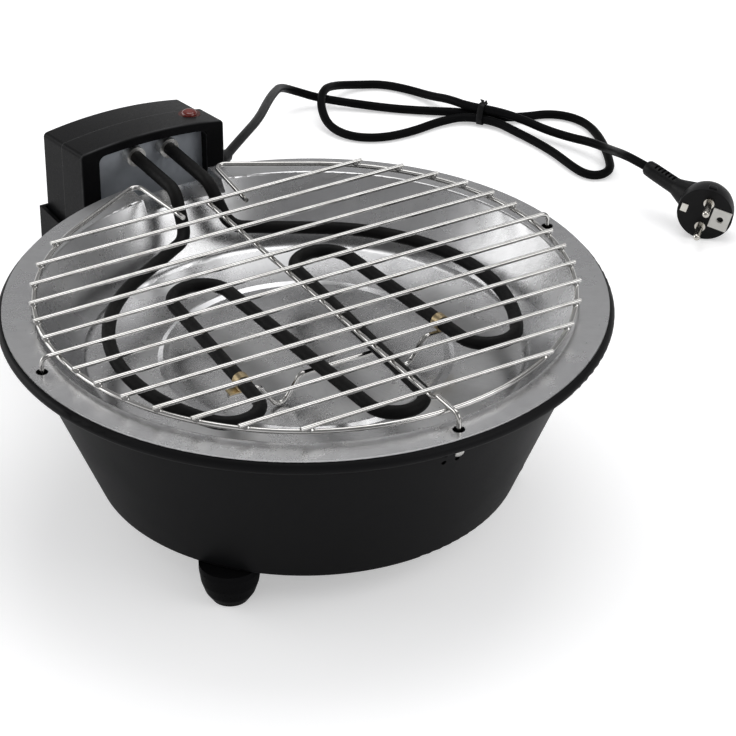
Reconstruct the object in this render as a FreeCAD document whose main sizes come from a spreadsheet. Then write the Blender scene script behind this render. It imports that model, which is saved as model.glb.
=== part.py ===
# Electric table grill: bowl on feet, lift-out drip pan, heater with control box, wire rack, lead and plug.
# Millimetres, +Z up, origin on the table under the middle of the object without its lead.
# Plan places are taken from the bowl's axis, with +Y towards the control box.
import math
import os
import re

import FreeCAD
import Part
import Sketcher
from FreeCAD import Placement, Rotation, Vector

SIZES = {
    # common clearances
    "seat_gap": 0.3,
    "slip_gap": 0.05,
    "overrun": 5,
    # bowl and feet
    "flange_height": 133,
    "rim_radius": 177,
    "rim_bead": 3.5,
    "shoulder_width": 12,
    "wall_spread": 41,
    "bowl_sheet": 1,
    "bowl_corner": 3,
    "foot_height": 24,
    "foot_inset": 8,
    "foot_top_radius": 17.5,
    "foot_waist_radius": 16.5,
    "foot_waist_height": 12.5,
    "foot_toe_radius": 14.2,
    "foot_toe_height": 5.5,
    "foot_base_radius": 10.5,
    "foot_round": 9,
    "foot_wall": 3,
    "foot_brim": 4,
    "foot_web": 9,
    "foot_screw_radius": 2,
    "foot_screw_head_radius": 3.8,
    "foot_screw_head_height": 2.2,
    "foot_screw_length": 9,
    "vent_hole_radius": 1.5,
    "vent_pitch": 8.5,
    "vent_row_pitch": 6,
    "vent_drop": 21,
    # drip pan
    "pan_sheet": 1,
    "flange_inset": 3,
    "flange_width": 18,
    "pan_spread": 28,
    "pan_depth": 38,
    "pan_lip": 2,
    "pan_corner": 6,
    "pan_ridge_half": 3,
    "pan_ridge_rise": 1.5,
    "leg_inset": 10,
    "leg_hole": 3.5,
    "trough_half": 27,
    "trough_drop": 7,
    # rack wires
    "ring_inset": 1,
    "ring_wire": 1.5,
    "ring_rise": 6,
    "ring_gap_half": 26.5,
    "prong_half": 21.5,
    "prong_reach": 44.5,
    "prong_bend": 5,
    "bar_wire": 1.3,
    "bar_overhang": 2.5,
    "weld_gap": 0.1,
    "hook_bend": 4,
    # heating element
    "tube_radius": 4,
    "tube_drop": 15,
    "coil_inset": 11,
    "leg_half": 11.5,
    "leg_rise": 8,
    "knee_inset": 15,
    "leg_spread": 3.5,
    "leg_foot_gap": 4,
    "leg_bend": 14,
    "ferrule_wall": 2.4,
    "ferrule_length": 7,
    "tube_tail": 12,
    # element support wire
    "support_wire": 1.5,
    "support_dip_width": 6,
    "support_shoulder": 13,
    "support_bend": 5,
    "support_tip": 9,
    "clip_sheet": 0.8,
    "clip_width": 6,
    # control box
    "box_gap": 15,
    "frame_depth": 30,
    "shell_depth": 30,
    "box_half": 49.5,
    "frame_step": 1.2,
    "box_hang": 70,
    "box_rise": 18.5,
    "box_fall": 8.5,
    "box_crown": 4.5,
    "box_round": 3,
    "case_wall": 2.5,
    "seam_round": 0.9,
    "window_side": 12,
    "window_drop": 4,
    "window_height": 51.5,
    "window_round": 5,
    "plate_recess": 8,
    "plate_sheet": 1,
    "plate_margin": 1,
    "lens_inset": 14,
    "lens_seam": 10,
    "lens_sink": 4.5,
    "lens_radius": 5,
    "lens_ring_wall": 2,
    "lens_ring_height": 4.2,
    "lens_dome": 2.2,
    "lens_boss": 9,
    "lens_boss_depth": 4,
    "lamp_radius": 3,
    "lamp_length": 7,
    "post_inset": 7,
    "post_rise": 9,
    "post_drop": 22,
    "post_radius": 5,
    "case_screw_radius": 1.5,
    "case_screw_head_radius": 3,
    "case_screw_head_height": 2.5,
    "case_screw_sink": 4,
    "case_screw_grip": 12,
    # inside the box
    "block_half": 20,
    "block_depth": 14,
    "block_drop": 6,
    "block_height": 14,
    "block_hole": 1.8,
    "cutout_radius": 9,
    "cutout_depth": 8,
    "cutout_drop": 33.5,
    "switch_side": -27,
    "switch_half": 6,
    "switch_depth": 10,
    "switch_height": 10,
    "plunger_radius": 2.5,
    "plunger_head_radius": 4,
    "plunger_head_height": 2,
    "plunger_length": 12,
    "plunger_travel": 1.5,
    "wire_radius": 1,
    # gland and lead
    "gland_setback": 47,
    "gland_rise": 31,
    "gland_collar": 8,
    "gland_collar_depth": 4,
    "gland_root": 5.8,
    "gland_tip": 4.4,
    "relief_bend": 19,
    "gland_tail": 4,
    "gland_tail_length": 10,
    "clamp_width": 6,
    "clamp_height": 14,
    "clamp_front": 7,
    "cord_radius": 3.2,
    "tie_sheet": 1.2,
    "tie_width": 5,
    # holder of the box
    "socket_gap": 0.4,
    "socket_wall": 2.5,
    "socket_depth": 27,
    "saddle_inset": 12,
    "saddle_rise": 23,
    "rib_inset": 4,
    "rib_width": 4,
    "socket_screw_radius": 2,
    "socket_screw_head_radius": 3.8,
    "socket_screw_head_height": 2.4,
    "socket_screw_rise": 10,
    "socket_screw_inset": 5.2,
    # plug
    "plug_radius": 19.2,
    "plug_back": 14.5,
    "plug_rim": 9,
    "plug_depth": 22,
    "plug_neck_root": 8.5,
    "plug_neck_tip": 6.2,
    "plug_neck_length": 54,
    "plug_rib": 1,
    "pin_radius": 2.4,
    "pin_length": 19,
    "pin_pitch": 19,
    "pin_collar": 3.7,
    "pin_collar_height": 1.2,
    "core_half": 7.5,
    "core_length": 13,
    "core_start": 4.5,
    "core_sink": 2,
    "core_proud": 0.4,
    "earth_hole": 2.4,
    "clip_half": 3,
    "clip_length": 4.5,
    "clip_start": 12.5,
    "clip_proud": 0.6,
}

# angles in degrees and counts
FOOT_NAMES = ("foot_left", "foot_right", "foot_rear")
FOOT_ANGLES = (-141.5, -21.5, 98.5)
LEG_ANGLES = (180, -90, 0)
RING_LEAVE_ANGLE = 30
BARS_BEHIND_HOOK = 6
BARS_BEFORE_HOOK = 7
PLUG_HEADING = 226
PLUG_ROLL = 16
PLUG_LEAN = 28
NECK_RIBS = 5
rib_start_share = 0.5
rib_pitch_share = 0.1
rib_width_share = 0.045
bead_roll_share = 0.9
ridge_share = 0.6484
bar_share = 0.12548
coil_centre_share = 0.0684
turn_share = 0.1496
front_turn_share = 0.141
front_reach_share = 0.8504
back_half_share = 0.3504
back_reach_share = 0.4274
side_reach_share = 0.5299
support_share = 0.3675
bend_share = 0.45
wire_pitch_share = 2.2

# The bend of the gland's relief and the lead as it lies down to the floor, in millimetres:
# across and along from the gland's mouth, and up from the floor.
RELIEF_BEND = (21.7, 2.95, 94.5)
LEAD_ROUTE = [
    (33.7, 13.95, 91.5), (44.7, 25.95, 89), (68.7, 51.95, 83), (97.7, 86.95, 72), (132.7, 137.95, 56),
    (158.7, 175.95, 41), (180.7, 207.95, 26), (197.7, 216.95, 15), (216.7, 209.95, 6.5),
    (234.7, 193.95, 4.95),
]
# The folded lead from there through the tie, the far loop, the tie, the near loop, the tie and to the plug.
HANK_ROUTE = [
    (234.7, 193.95, 4.95), (252.7, 177.95, 3.4), (274.7, 158.95, 3.5), (301.3, 136.65, 4.9),
    (315.7, 117.45, 4.9), (334.7, 110.95, 3.7), (352.7, 106.95, 3.4), (363.7, 94.95, 3.4),
    (367.7, 78.95, 3.4), (364.7, 60.95, 3.4), (357.7, 40.95, 3.4), (349.7, 23.95, 3.4),
    (342.2, 10.45, 3.4), (333.7, 4.95, 3.4), (325.2, 5.95, 3.4), (320.2, 13.95, 3.4),
    (319.7, 28.95, 3.4), (320.7, 50.95, 3.4), (318.7, 73.95, 3.4), (314.2, 95.95, 4),
    (310.1, 113.25, 4.9), (295.7, 132.45, 4.9), (275.7, 136.95, 3.6), (248.7, 132.95, 3.4),
    (223.7, 135.95, 3.4), (205.7, 149.95, 3.4), (199.7, 170.95, 5), (204.7, 190.95, 12.5),
    (216.7, 206.95, 16), (233.7, 218.95, 10), (254.7, 222.95, 3.6), (272.7, 213.95, 3.4),
    (284.7, 195.95, 3.4), (290.7, 173.95, 5.5), (293.7, 152.95, 11), (298.5, 134.55, 11.8),
    (312.9, 115.35, 11.8), (322.7, 96.95, 9.5), (330.7, 77.95, 5), (338.7, 58.95, 5),
    (344.7, 39.95, 10.6), (345.7, 20.95, 13.5), (339.7, 2.95, 20.5), (331.7, -16.05, 29),
    (327.2, -34.05, 34.6),
]
TIE_CENTRES = [
    (308.5, 127.05, 4.9), (302.9, 122.85, 4.9), (305.7, 124.95, 11.8),
]
PLUG_PLACE = (338.7, -106.05, 19.6)

# Sizes that follow from others, by a named clearance or share
DRIVEN = {
    "bowl_mouth": "rim_radius - shoulder_width",
    "bowl_base": "bowl_mouth - wall_spread",
    "foot_circle": "bowl_base - foot_inset",
    "vent_height": "flange_height - vent_drop",
    "pan_flange": "rim_radius - flange_inset",
    "pan_mouth": "pan_flange - flange_width",
    "pan_floor": "pan_mouth - pan_spread",
    "pan_ridge": f"pan_floor * {ridge_share}",
    "leg_circle": "pan_mouth + leg_inset",
    "ring_radius": "pan_mouth - ring_inset",
    "prong_end": "ring_radius - prong_reach",
    "bar_pitch": f"ring_radius * {bar_share}",
    "coil_radius": "pan_floor - coil_inset",
    "coil_centre": f"coil_radius * {coil_centre_share}",
    "turn_radius": f"coil_radius * {turn_share}",
    "front_turn": f"coil_radius * {front_turn_share}",
    "front_turn_reach": f"coil_radius * {front_reach_share}",
    "back_turn_half": f"coil_radius * {back_half_share}",
    "back_turn_reach": f"coil_radius * {back_reach_share}",
    "side_turn_reach": f"coil_radius * {side_reach_share}",
    "support_reach": f"coil_radius * {support_share}",
    "support_dip_half": f"coil_radius * {back_half_share}",
    "leg_knee": "pan_mouth - knee_inset",
    "leg_foot": "coil_radius + leg_foot_gap",
    "leg_foot_half": "leg_half + leg_spread",
    "box_reach": "rim_radius + box_gap",
    "box_bottom": "flange_height - box_hang",
    "box_shoulder": "flange_height + box_rise",
    "window_half": "box_half - window_side",
    "window_bottom": "box_shoulder - window_height",
    "lens_half": "box_half - lens_inset",
    "lens_reach": "box_reach + frame_depth - lens_seam",
    "lens_seat": "box_shoulder - lens_sink",
    "post_half": "box_half - post_inset",
    "post_low": "box_bottom + post_rise",
    "post_high": "box_shoulder - post_drop",
    "gland_reach": "box_reach + gland_setback",
    "gland_height": "box_bottom + gland_rise",
    "block_low": "gland_height - block_drop",
    "cutout_height": "box_shoulder - cutout_drop",
    "socket_height": "box_bottom + socket_depth",
    "saddle_height": "box_bottom + saddle_rise",
    "saddle_half": "box_half - saddle_inset",
    "rib_half": "saddle_half - rib_inset",
    "socket_screw_height": "box_bottom + socket_screw_rise",
    "socket_screw_half": "saddle_half - socket_screw_inset",
}

doc = FreeCAD.newDocument("TableGrill")
sheet = doc.addObject("Spreadsheet::Sheet", "Sizes")
for row, (alias, number) in enumerate(SIZES.items(), start=1):
    sheet.set(f"A{row}", alias)
    sheet.set(f"B{row}", str(number))
    sheet.setAlias(f"B{row}", alias)
doc.recompute()


def spell(text):
    return re.sub(r"[a-z_]\w*", lambda word: f"({spell(DRIVEN[word[0]])})" if word[0] in DRIVEN else word[0], text)


def formula(text):
    whole = spell(text)
    return re.sub(r"[a-z_]\w*", lambda word: f"Sizes.{word[0]}" if word[0] in SIZES else word[0], whole)


def size(text):
    return float(sheet.evalExpression(spell(text)))


# Heights and leans that several pieces share
AXIS = "(rim_radius - box_reach - frame_depth - shell_depth - socket_gap - socket_wall) / 2"
BEAD = "(flange_height - pan_sheet - seat_gap - rim_bead)"
SHOULDER = f"({BEAD} - rim_bead * {bead_roll_share})"
BOWL_LEAN = f"((bowl_mouth - bowl_base) / ({SHOULDER} - foot_height))"
BOWL_SKIN = f"(bowl_sheet * sqrt(1 + {BOWL_LEAN}^2))"
PAN_FLOOR = "(flange_height - pan_depth)"
PAN_LEAN = "((pan_mouth - pan_floor) / pan_depth)"
PAN_SKIN = f"(pan_sheet * sqrt(1 + {PAN_LEAN}^2))"
PLATE = "(box_reach + plate_recess)"
CREASE = "(box_reach + frame_depth)"
REAR = "(box_reach + frame_depth + shell_depth)"
FALL = "(box_fall / (frame_depth + shell_depth))"
CREASE_FALL = f"({FALL} * frame_depth)"
PLATE_FALL = f"({FALL} * plate_recess)"
axis_y = size(AXIS)
lean = size(BOWL_LEAN)
nodes = []


def keep(piece, label):
    piece.Label = label
    nodes.append(piece)
    return piece


def bind(piece, sizes):
    for name, text in sizes.items():
        piece.setExpression(name, formula(text))
    return piece


def place(piece, x="0", y="0", z="0", turn=Rotation()):
    piece.Placement = Placement(Vector(), turn)
    axes = {"x": x, "y": y, "z": z}
    return bind(piece, {f"Placement.Base.{axis}": text for axis, text in axes.items()})


def polar(radius, angle, height=0):
    turn = math.radians(angle)
    return Vector(radius * math.cos(turn), radius * math.sin(turn), height)


ALONG_X = Rotation(Vector(0, 1, 0), 90)
ALONG_Y = Rotation(Vector(1, 0, 0), -90)


# Sketches and features of a body
def new_body(label):
    body = doc.addObject("PartDesign::Body", label)
    keep(body, label)
    return place(body, y=AXIS)


def new_sketch(body, plane, offset="0"):
    sketch = body.newObject("Sketcher::SketchObject", f"{body.Name}_sketch")
    support = next(datum for datum in body.Origin.OriginFeatures if datum.Role == plane)
    sketch.AttachmentSupport = (support, [""])
    sketch.MapMode = "FlatFace"
    return bind(sketch, {"AttachmentOffset.Base.z": offset})


def pin_point(sketch, line, end, x, y):
    for kind, text, axis in (("DistanceX", x, -2), ("DistanceY", y, -1)):
        if text == "0":
            sketch.addConstraint(Sketcher.Constraint("PointOnObject", line, end, axis))
        else:
            mark = sketch.addConstraint(Sketcher.Constraint(kind, line, end, size(text)))
            bind(sketch, {f"Constraints[{mark}]": text})


def outline(sketch, corners):
    spots = [Vector(size(x), size(y), 0) for x, y in corners]
    first = sketch.GeometryCount
    count = len(spots)
    for here, there in zip(spots, spots[1:] + spots[:1]):
        sketch.addGeometry(Part.LineSegment(here, there))
    for side in range(count):
        after = first + (side + 1) % count
        sketch.addConstraint(Sketcher.Constraint("Coincident", first + side, 2, after, 1))
    for side, (x, y) in enumerate(corners):
        pin_point(sketch, first + side, 1, x, y)
    return sketch


def disc(sketch, x, y, radius):
    centre = Vector(size(x), size(y), 0)
    ring = sketch.addGeometry(Part.Circle(centre, Vector(0, 0, 1), size(radius)))
    pin_point(sketch, ring, 3, x, y)
    mark = sketch.addConstraint(Sketcher.Constraint("Radius", ring, size(radius)))
    bind(sketch, {f"Constraints[{mark}]": radius})
    return sketch


def crowned(body, reach, half, low, shoulder, crown):
    sketch = new_sketch(body, "XZ_Plane", f"-({reach})")
    wide, base, top, rise = size(half), size(low), size(shoulder), size(crown)
    left_base, right_base = Vector(-wide, base, 0), Vector(wide, base, 0)
    left_top, right_top = Vector(-wide, top, 0), Vector(wide, top, 0)
    sketch.addGeometry(Part.LineSegment(left_base, right_base))
    sketch.addGeometry(Part.LineSegment(right_base, right_top))
    sketch.addGeometry(Part.Arc(right_top, Vector(0, top + rise, 0), left_top))
    sketch.addGeometry(Part.LineSegment(left_top, left_base))
    for here, there, start in ((0, 1, 1), (1, 2, 1), (2, 3, 1), (3, 0, 1)):
        sketch.addConstraint(Sketcher.Constraint("Coincident", here, 2, there, start))
    pin_point(sketch, 0, 1, f"-({half})", low)
    pin_point(sketch, 1, 1, half, low)
    pin_point(sketch, 2, 1, half, shoulder)
    pin_point(sketch, 3, 1, f"-({half})", shoulder)
    bow = f"(({half})^2 + ({crown})^2) / (2 * ({crown}))"
    mark = sketch.addConstraint(Sketcher.Constraint("Radius", 2, size(bow)))
    bind(sketch, {f"Constraints[{mark}]": bow})
    return sketch


def revolve(body, sketch):
    feature = body.newObject("PartDesign::Revolution", f"{body.Name}_turned")
    feature.Profile = sketch
    feature.ReferenceAxis = (sketch, ["V_Axis"])
    feature.Angle = 360
    return feature


def slant(body, kind, sketch, depth):
    feature = body.newObject(f"PartDesign::{kind}", f"{body.Name}_{kind}")
    feature.Profile = sketch
    feature.UseCustomVector = True
    feature.AlongSketchNormal = False
    feature.Direction = Vector(0, 1, -size(FALL))
    return bind(feature, {"Direction.z": f"-{FALL}", "Length": f"({depth}) * sqrt(1 + {FALL}^2)"})


def primitive(body, kind, sizes, x="0", y="0", z="0", turn=Rotation()):
    feature = body.newObject(f"PartDesign::{kind}", f"{body.Name}_{kind}")
    bind(feature, sizes)
    return place(feature, x, y, z, turn)


def block(body, kind, low, high):
    sides = zip(("Length", "Width", "Height"), low, high)
    return primitive(body, kind, {side: f"({top}) - ({base})" for side, base, top in sides}, *low)


def rod(body, kind, radius, length, x="0", y="0", z="0", turn=Rotation()):
    return primitive(body, kind, {"Radius": radius, "Height": length}, x, y, z, turn)


def fillet(body, radius, chosen):
    doc.recompute()
    tip = body.Tip
    names = [f"Edge{i}" for i, edge in enumerate(tip.Shape.Edges, start=1) if chosen(edge)]
    feature = body.newObject("PartDesign::Fillet", f"{body.Name}_round")
    feature.Base = (tip, names)
    return bind(feature, {"Radius": radius})


def is_ring(radius, height):
    def chosen(edge):
        round_edge = edge.Curve.TypeId == "Part::GeomCircle"
        level = abs(edge.BoundBox.ZMin - size(height)) + abs(edge.BoundBox.ZMax - size(height))
        near = size("seat_gap")
        return round_edge and level < near and abs(edge.Curve.Radius - size(radius)) < near
    return chosen


# Free primitives, for plain inner pieces
def solid(kind, sizes, x="0", y="0", z="0", turn=Rotation()):
    return place(bind(doc.addObject(f"Part::{kind}", kind), sizes), x, f"{AXIS} + {y}", z, turn)


def brick(low, high):
    sides = zip(("Length", "Width", "Height"), low, high)
    return solid("Box", {side: f"({top}) - ({base})" for side, base, top in sides}, *low)


def cut(base, tools):
    for tool in tools:
        result = doc.addObject("Part::Cut", "Cut")
        result.Base = base
        result.Tool = tool
        base = result
    return base


def gather(kind, pieces):
    result = doc.addObject(f"Part::{kind}", kind)
    setattr(result, "Links" if kind == "Compound" else "Shapes", pieces)
    return result


# Bent wires and cords: straight runs joined by tangent arcs
def bend_edges(points, radii):
    points = [Vector(*point) for point in points]
    edges = []
    here = points[0]
    for before, corner, after, radius in zip(points, points[1:], points[2:], radii):
        back = (before - corner).normalize()
        ahead = (after - corner).normalize()
        half = (math.pi - back.getAngle(ahead)) / 2
        setback = radius * math.tan(half)
        start = corner + back * setback
        end = corner + ahead * setback
        inward = (back + ahead).normalize()
        middle = corner + inward * (radius / math.cos(half) - radius)
        if (start - here).Length > size("slip_gap") * size("slip_gap"):
            edges.append(Part.LineSegment(here, start).toShape())
        edges.append(Part.Arc(start, middle, end).toShape())
        here = end
    edges.append(Part.LineSegment(here, points[-1]).toShape())
    return edges


def tube(edges, radius):
    path = Part.Wire(edges)
    start = edges[0].valueAt(edges[0].FirstParameter)
    heading = edges[0].tangentAt(edges[0].FirstParameter)
    section = Part.Wire(Part.Circle(start, heading, radius).toShape())
    return path.makePipeShell([section], True, False)


def form(label, shape, y=None):
    piece = keep(doc.addObject("Part::Feature", label), label)
    piece.Shape = shape
    return place(piece, y=AXIS if y is None else y)


def spin(profile):
    edges = [piece.toShape() for piece in profile]
    face = Part.Face(Part.Wire(edges))
    return face.revolve(Vector(), Vector(0, 0, 1), 360)


def bolt(radius, length, head, cap, base, heading):
    shank = Part.makeCylinder(radius, length, base, heading)
    return shank.fuse(Part.makeCylinder(head, cap, base - heading * cap, heading)).removeSplitter()


# Outer bowl: rolled rim on a shoulder, leaning wall, flat base, notch at the back
bowl = new_body("outer_bowl")
wall_top = f"{SHOULDER} + bowl_sheet"
inner_top = f"bowl_mouth - {BOWL_SKIN} + {BOWL_LEAN} * bowl_sheet"
inner_base = f"bowl_base - {BOWL_SKIN} + {BOWL_LEAN} * bowl_sheet"
roll = "rim_radius - rim_bead"
revolve(bowl, outline(new_sketch(bowl, "XZ_Plane"), [
    ("0", "foot_height"), ("bowl_base", "foot_height"), ("bowl_mouth", SHOULDER), (roll, SHOULDER),
    (roll, wall_top), (inner_top, wall_top), (inner_base, "foot_height + bowl_sheet"),
    ("0", "foot_height + bowl_sheet"),
]))
revolve(bowl, disc(new_sketch(bowl, "XZ_Plane"), roll, BEAD, "rim_bead"))
fillet(bowl, "bowl_corner", is_ring("bowl_base", "foot_height"))
notch_half = "(trough_half + pan_sheet + socket_gap)"
notch_low = "flange_height - trough_drop - 2 * pan_sheet"
block(bowl, "SubtractiveBox", (f"-{notch_half}", "bowl_mouth - overrun", notch_low),
      (notch_half, "rim_radius + overrun", "flange_height"))
for angle in FOOT_ANGLES:
    spot = f"foot_circle * cos({angle} deg)", f"foot_circle * sin({angle} deg)"
    rod(bowl, "SubtractiveCylinder", "foot_screw_radius + slip_gap", "bowl_sheet + 2 * overrun",
        *spot, "foot_height - overrun")
for column in (-0.5, 0.5):
    for level in (-0.5, 0.5):
        rod(bowl, "SubtractiveCylinder", "vent_hole_radius", "rim_radius", f"{column} * vent_pitch", "-rim_radius",
            f"vent_height + {level} * vent_row_pitch", ALONG_Y)
SLOPE = f"sqrt(1 + {BOWL_LEAN}^2)"
SCREW_REACH = f"(bowl_base + {BOWL_LEAN} * (socket_screw_height - foot_height))"
SCREW_SIDE = f"(socket_screw_half / {SCREW_REACH})"
SCREW_BACK = f"sqrt(1 - {SCREW_SIDE}^2)"
screw_angle = math.degrees(math.acos(size(SCREW_SIDE)))
screw_angles = (screw_angle, 180 - screw_angle)
screw_spots = [polar(size(SCREW_REACH), angle, size("socket_screw_height")) for angle in screw_angles]
screw_headings = [polar(1 / size(SLOPE), angle, -lean / size(SLOPE)) for angle in screw_angles]


def screw_holes():
    radial = f"({SCREW_REACH} - overrun / {SLOPE})"
    for side, heading in zip(("1", "-1"), screw_headings):
        yield (f"{side} * {radial} * {SCREW_SIDE}", f"{radial} * {SCREW_BACK}",
               f"socket_screw_height + overrun * {BOWL_LEAN} / {SLOPE}", Rotation(Vector(0, 0, 1), heading))


for hole in screw_holes():
    rod(bowl, "SubtractiveCylinder", "socket_screw_radius + slip_gap", "2 * overrun", *hole)

# Feet: tapered cups with a brim, hollow from below, screwed on from inside the bowl
for label, angle in zip(FOOT_NAMES, FOOT_ANGLES):
    foot = new_body(label)
    place(foot, f"foot_circle * cos({angle} deg)", f"{AXIS} + foot_circle * sin({angle} deg)")
    cavity = "foot_height - foot_web"
    hollow = "foot_base_radius - foot_wall"
    revolve(foot, outline(new_sketch(foot, "XZ_Plane"), [
        ("foot_screw_radius + slip_gap", "foot_height"), ("foot_top_radius", "foot_height"),
        ("foot_top_radius", "foot_height - foot_brim"), ("foot_waist_radius", "foot_waist_height"),
        ("foot_toe_radius", "foot_toe_height"), ("foot_base_radius", "0"), (hollow, "0"), (hollow, cavity),
        ("foot_screw_radius + slip_gap", cavity),
    ]))
    fillet(foot, "foot_round", is_ring("foot_waist_radius", "foot_waist_height"))
    fillet(foot, "foot_round", is_ring("foot_toe_radius", "foot_toe_height"))
foot_screw_seat = size("foot_height + bowl_sheet")
form("foot_screws", Part.makeCompound([
    bolt(size("foot_screw_radius"), size("foot_screw_length"), size("foot_screw_head_radius"), size("foot_screw_head_height"),
         polar(size("foot_circle"), angle, foot_screw_seat), Vector(0, 0, -1))
    for angle in FOOT_ANGLES
]))

# Holder of the control box: open tray on a saddle that hugs the bowl's wall
tray_half = "(box_half + socket_gap + socket_wall)"
tray_front = "(box_reach - socket_gap - socket_wall)"
tray_back = f"({REAR} + socket_gap + socket_wall)"
tray_low = "(box_bottom - seat_gap - socket_wall)"
tray = cut(brick((f"-{tray_half}", tray_front, tray_low), (tray_half, tray_back, "socket_height")), [
    brick((f"-({tray_half} - socket_wall)", f"{tray_front} + socket_wall", f"{tray_low} + socket_wall"),
          (f"{tray_half} - socket_wall", f"{tray_back} - socket_wall", "socket_height + overrun")),
    brick(("box_half", "gland_reach - gland_collar - socket_gap", "gland_height - gland_collar - socket_gap"),
          (f"{tray_half} + overrun", "gland_reach + gland_collar + socket_gap", "socket_height + overrun")),
])


def wall_cone(gap):
    out = f"({gap}) * sqrt(1 + {BOWL_LEAN}^2)"
    return solid("Cone", {"Radius1": f"bowl_base + {out}", "Radius2": f"bowl_mouth + {out}",
                          "Height": f"{SHOULDER} - foot_height"}, z="foot_height")


saddle = gather("MultiCommon", [
    cut(wall_cone("seat_gap + socket_wall"), [wall_cone("seat_gap")]),
    brick(("-saddle_half", "0", tray_low), ("saddle_half", tray_front, "saddle_height")),
])
ribs = [cut(brick((f"{side} * rib_half - rib_width / 2", "0", tray_low),
                  (f"{side} * rib_half + rib_width / 2", tray_front, "saddle_height")),
            [wall_cone("seat_gap + slip_gap")]) for side in (-1, 1)]
socket = gather("MultiFuse", [tray, saddle] + ribs)
drills = [solid("Cylinder", {"Radius": "socket_screw_radius + slip_gap", "Height": "2 * overrun"}, *hole)
          for hole in screw_holes()]
keep(cut(socket, drills), "box_socket")
screw_grip = size("bowl_sheet + 2 * seat_gap + socket_wall")
form("socket_screws", Part.makeCompound([
    bolt(size("socket_screw_radius"), screw_grip, size("socket_screw_head_radius"), size("socket_screw_head_height"),
         spot - heading * size("bowl_sheet + seat_gap"), heading)
    for spot, heading in zip(screw_spots, screw_headings)
]))

# Drip pan: pressed sheet with a flat flange, a ridge in its floor and a trough for the element's legs
pan = new_body("drip_pan")
under = f"{PAN_FLOOR} - pan_sheet"
flange_under = "flange_height - pan_sheet"
outer_top = f"pan_mouth + {PAN_SKIN} - {PAN_LEAN} * pan_sheet"
outer_base = f"pan_floor + {PAN_SKIN} - {PAN_LEAN} * pan_sheet"
ridge_in, ridge_out = "pan_ridge - pan_ridge_half", "pan_ridge + pan_ridge_half"
ridge_top = f"{PAN_FLOOR} + pan_ridge_rise"
revolve(pan, outline(new_sketch(pan, "XZ_Plane"), [
    ("0", under), (ridge_in, under), ("pan_ridge", f"{under} + pan_ridge_rise"), (ridge_out, under),
    (outer_base, under), (outer_top, flange_under), ("pan_flange", flange_under),
    ("pan_flange", "flange_height"), ("pan_mouth", "flange_height"), ("pan_floor", PAN_FLOOR),
    (ridge_out, PAN_FLOOR), ("pan_ridge", ridge_top), (ridge_in, PAN_FLOOR), ("0", PAN_FLOOR),
]))
fillet(pan, "pan_corner", is_ring("pan_floor", PAN_FLOOR))
fillet(pan, "pan_lip", is_ring("pan_mouth", "flange_height"))
trough_out = "(trough_half + pan_sheet)"
trough_floor = "flange_height - trough_drop"
trough_start = f"pan_mouth - {PAN_LEAN} * trough_drop - overrun"
block(pan, "SubtractiveBox", (f"-{trough_out}", trough_start, f"{trough_floor} - pan_sheet"),
      (trough_out, "pan_flange + overrun", "flange_height + overrun"))
channel = new_sketch(pan, "XZ_Plane", "-sqrt(pan_flange^2 - (trough_half + pan_sheet)^2)")
outline(channel, [
    (f"-{trough_out}", f"{trough_floor} - pan_sheet"), (trough_out, f"{trough_floor} - pan_sheet"),
    (trough_out, "flange_height"), ("trough_half", "flange_height"), ("trough_half", trough_floor),
    ("-trough_half", trough_floor), ("-trough_half", "flange_height"), (f"-{trough_out}", "flange_height"),
])
pressed = pan.newObject("PartDesign::Pad", "drip_pan_trough")
pressed.Profile = channel
bind(pressed, {"Length": f"sqrt(pan_flange^2 - {trough_out}^2) - ({trough_start})"})
mouth = new_sketch(pan, "XZ_Plane")
outline(mouth, [
    ("0", f"{ridge_top} + pan_sheet"),
    (f"pan_floor + {PAN_LEAN} * (pan_ridge_rise + pan_sheet)", f"{ridge_top} + pan_sheet"),
    ("pan_mouth", "flange_height"), ("pan_mouth", "flange_height + overrun"),
    ("0", "flange_height + overrun"),
])
trim = pan.newObject("PartDesign::Groove", "drip_pan_mouth")
trim.Profile = mouth
trim.ReferenceAxis = (mouth, ["V_Axis"])
trim.Angle = 360
for angle in LEG_ANGLES:
    rod(pan, "SubtractiveCylinder", "leg_hole", "pan_sheet + 2 * overrun", f"leg_circle * cos({angle} deg)",
        f"leg_circle * sin({angle} deg)", "flange_height - overrun")

# Wire rack: open ring with inturned prongs, straight bars, one hooked bar and a brace under the bars
ring_z = size("flange_height + ring_rise")
bar_z = ring_z + size("ring_wire + bar_wire + weld_gap")
leg_end = size(f"{SHOULDER} + bowl_sheet + seat_gap")
ring_r = size("ring_radius")
gap_half = size("ring_gap_half")
leave = math.radians(RING_LEAVE_ANGLE)


def ring_end(side):
    end = Vector(side * size("prong_half"), size("prong_end"), ring_z)
    touch = Vector(side * ring_r * math.sin(leave), ring_r * math.cos(leave), ring_z)
    run = ring_r * math.sin(leave) - gap_half
    corner = Vector(side * gap_half, touch.y + run * math.tan(leave), ring_z)
    return bend_edges([end, corner, touch], [size("prong_bend")]), touch


def pipe(edges, radius):
    path = Part.Wire(Part.__sortEdges__(edges))
    first = path.OrderedEdges[0]
    heading = first.tangentAt(first.FirstParameter)
    section = Part.Circle(path.OrderedVertexes[0].Point, heading, radius).toShape()
    return path.makePipeShell([Part.Wire(section)], True, False)


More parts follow.
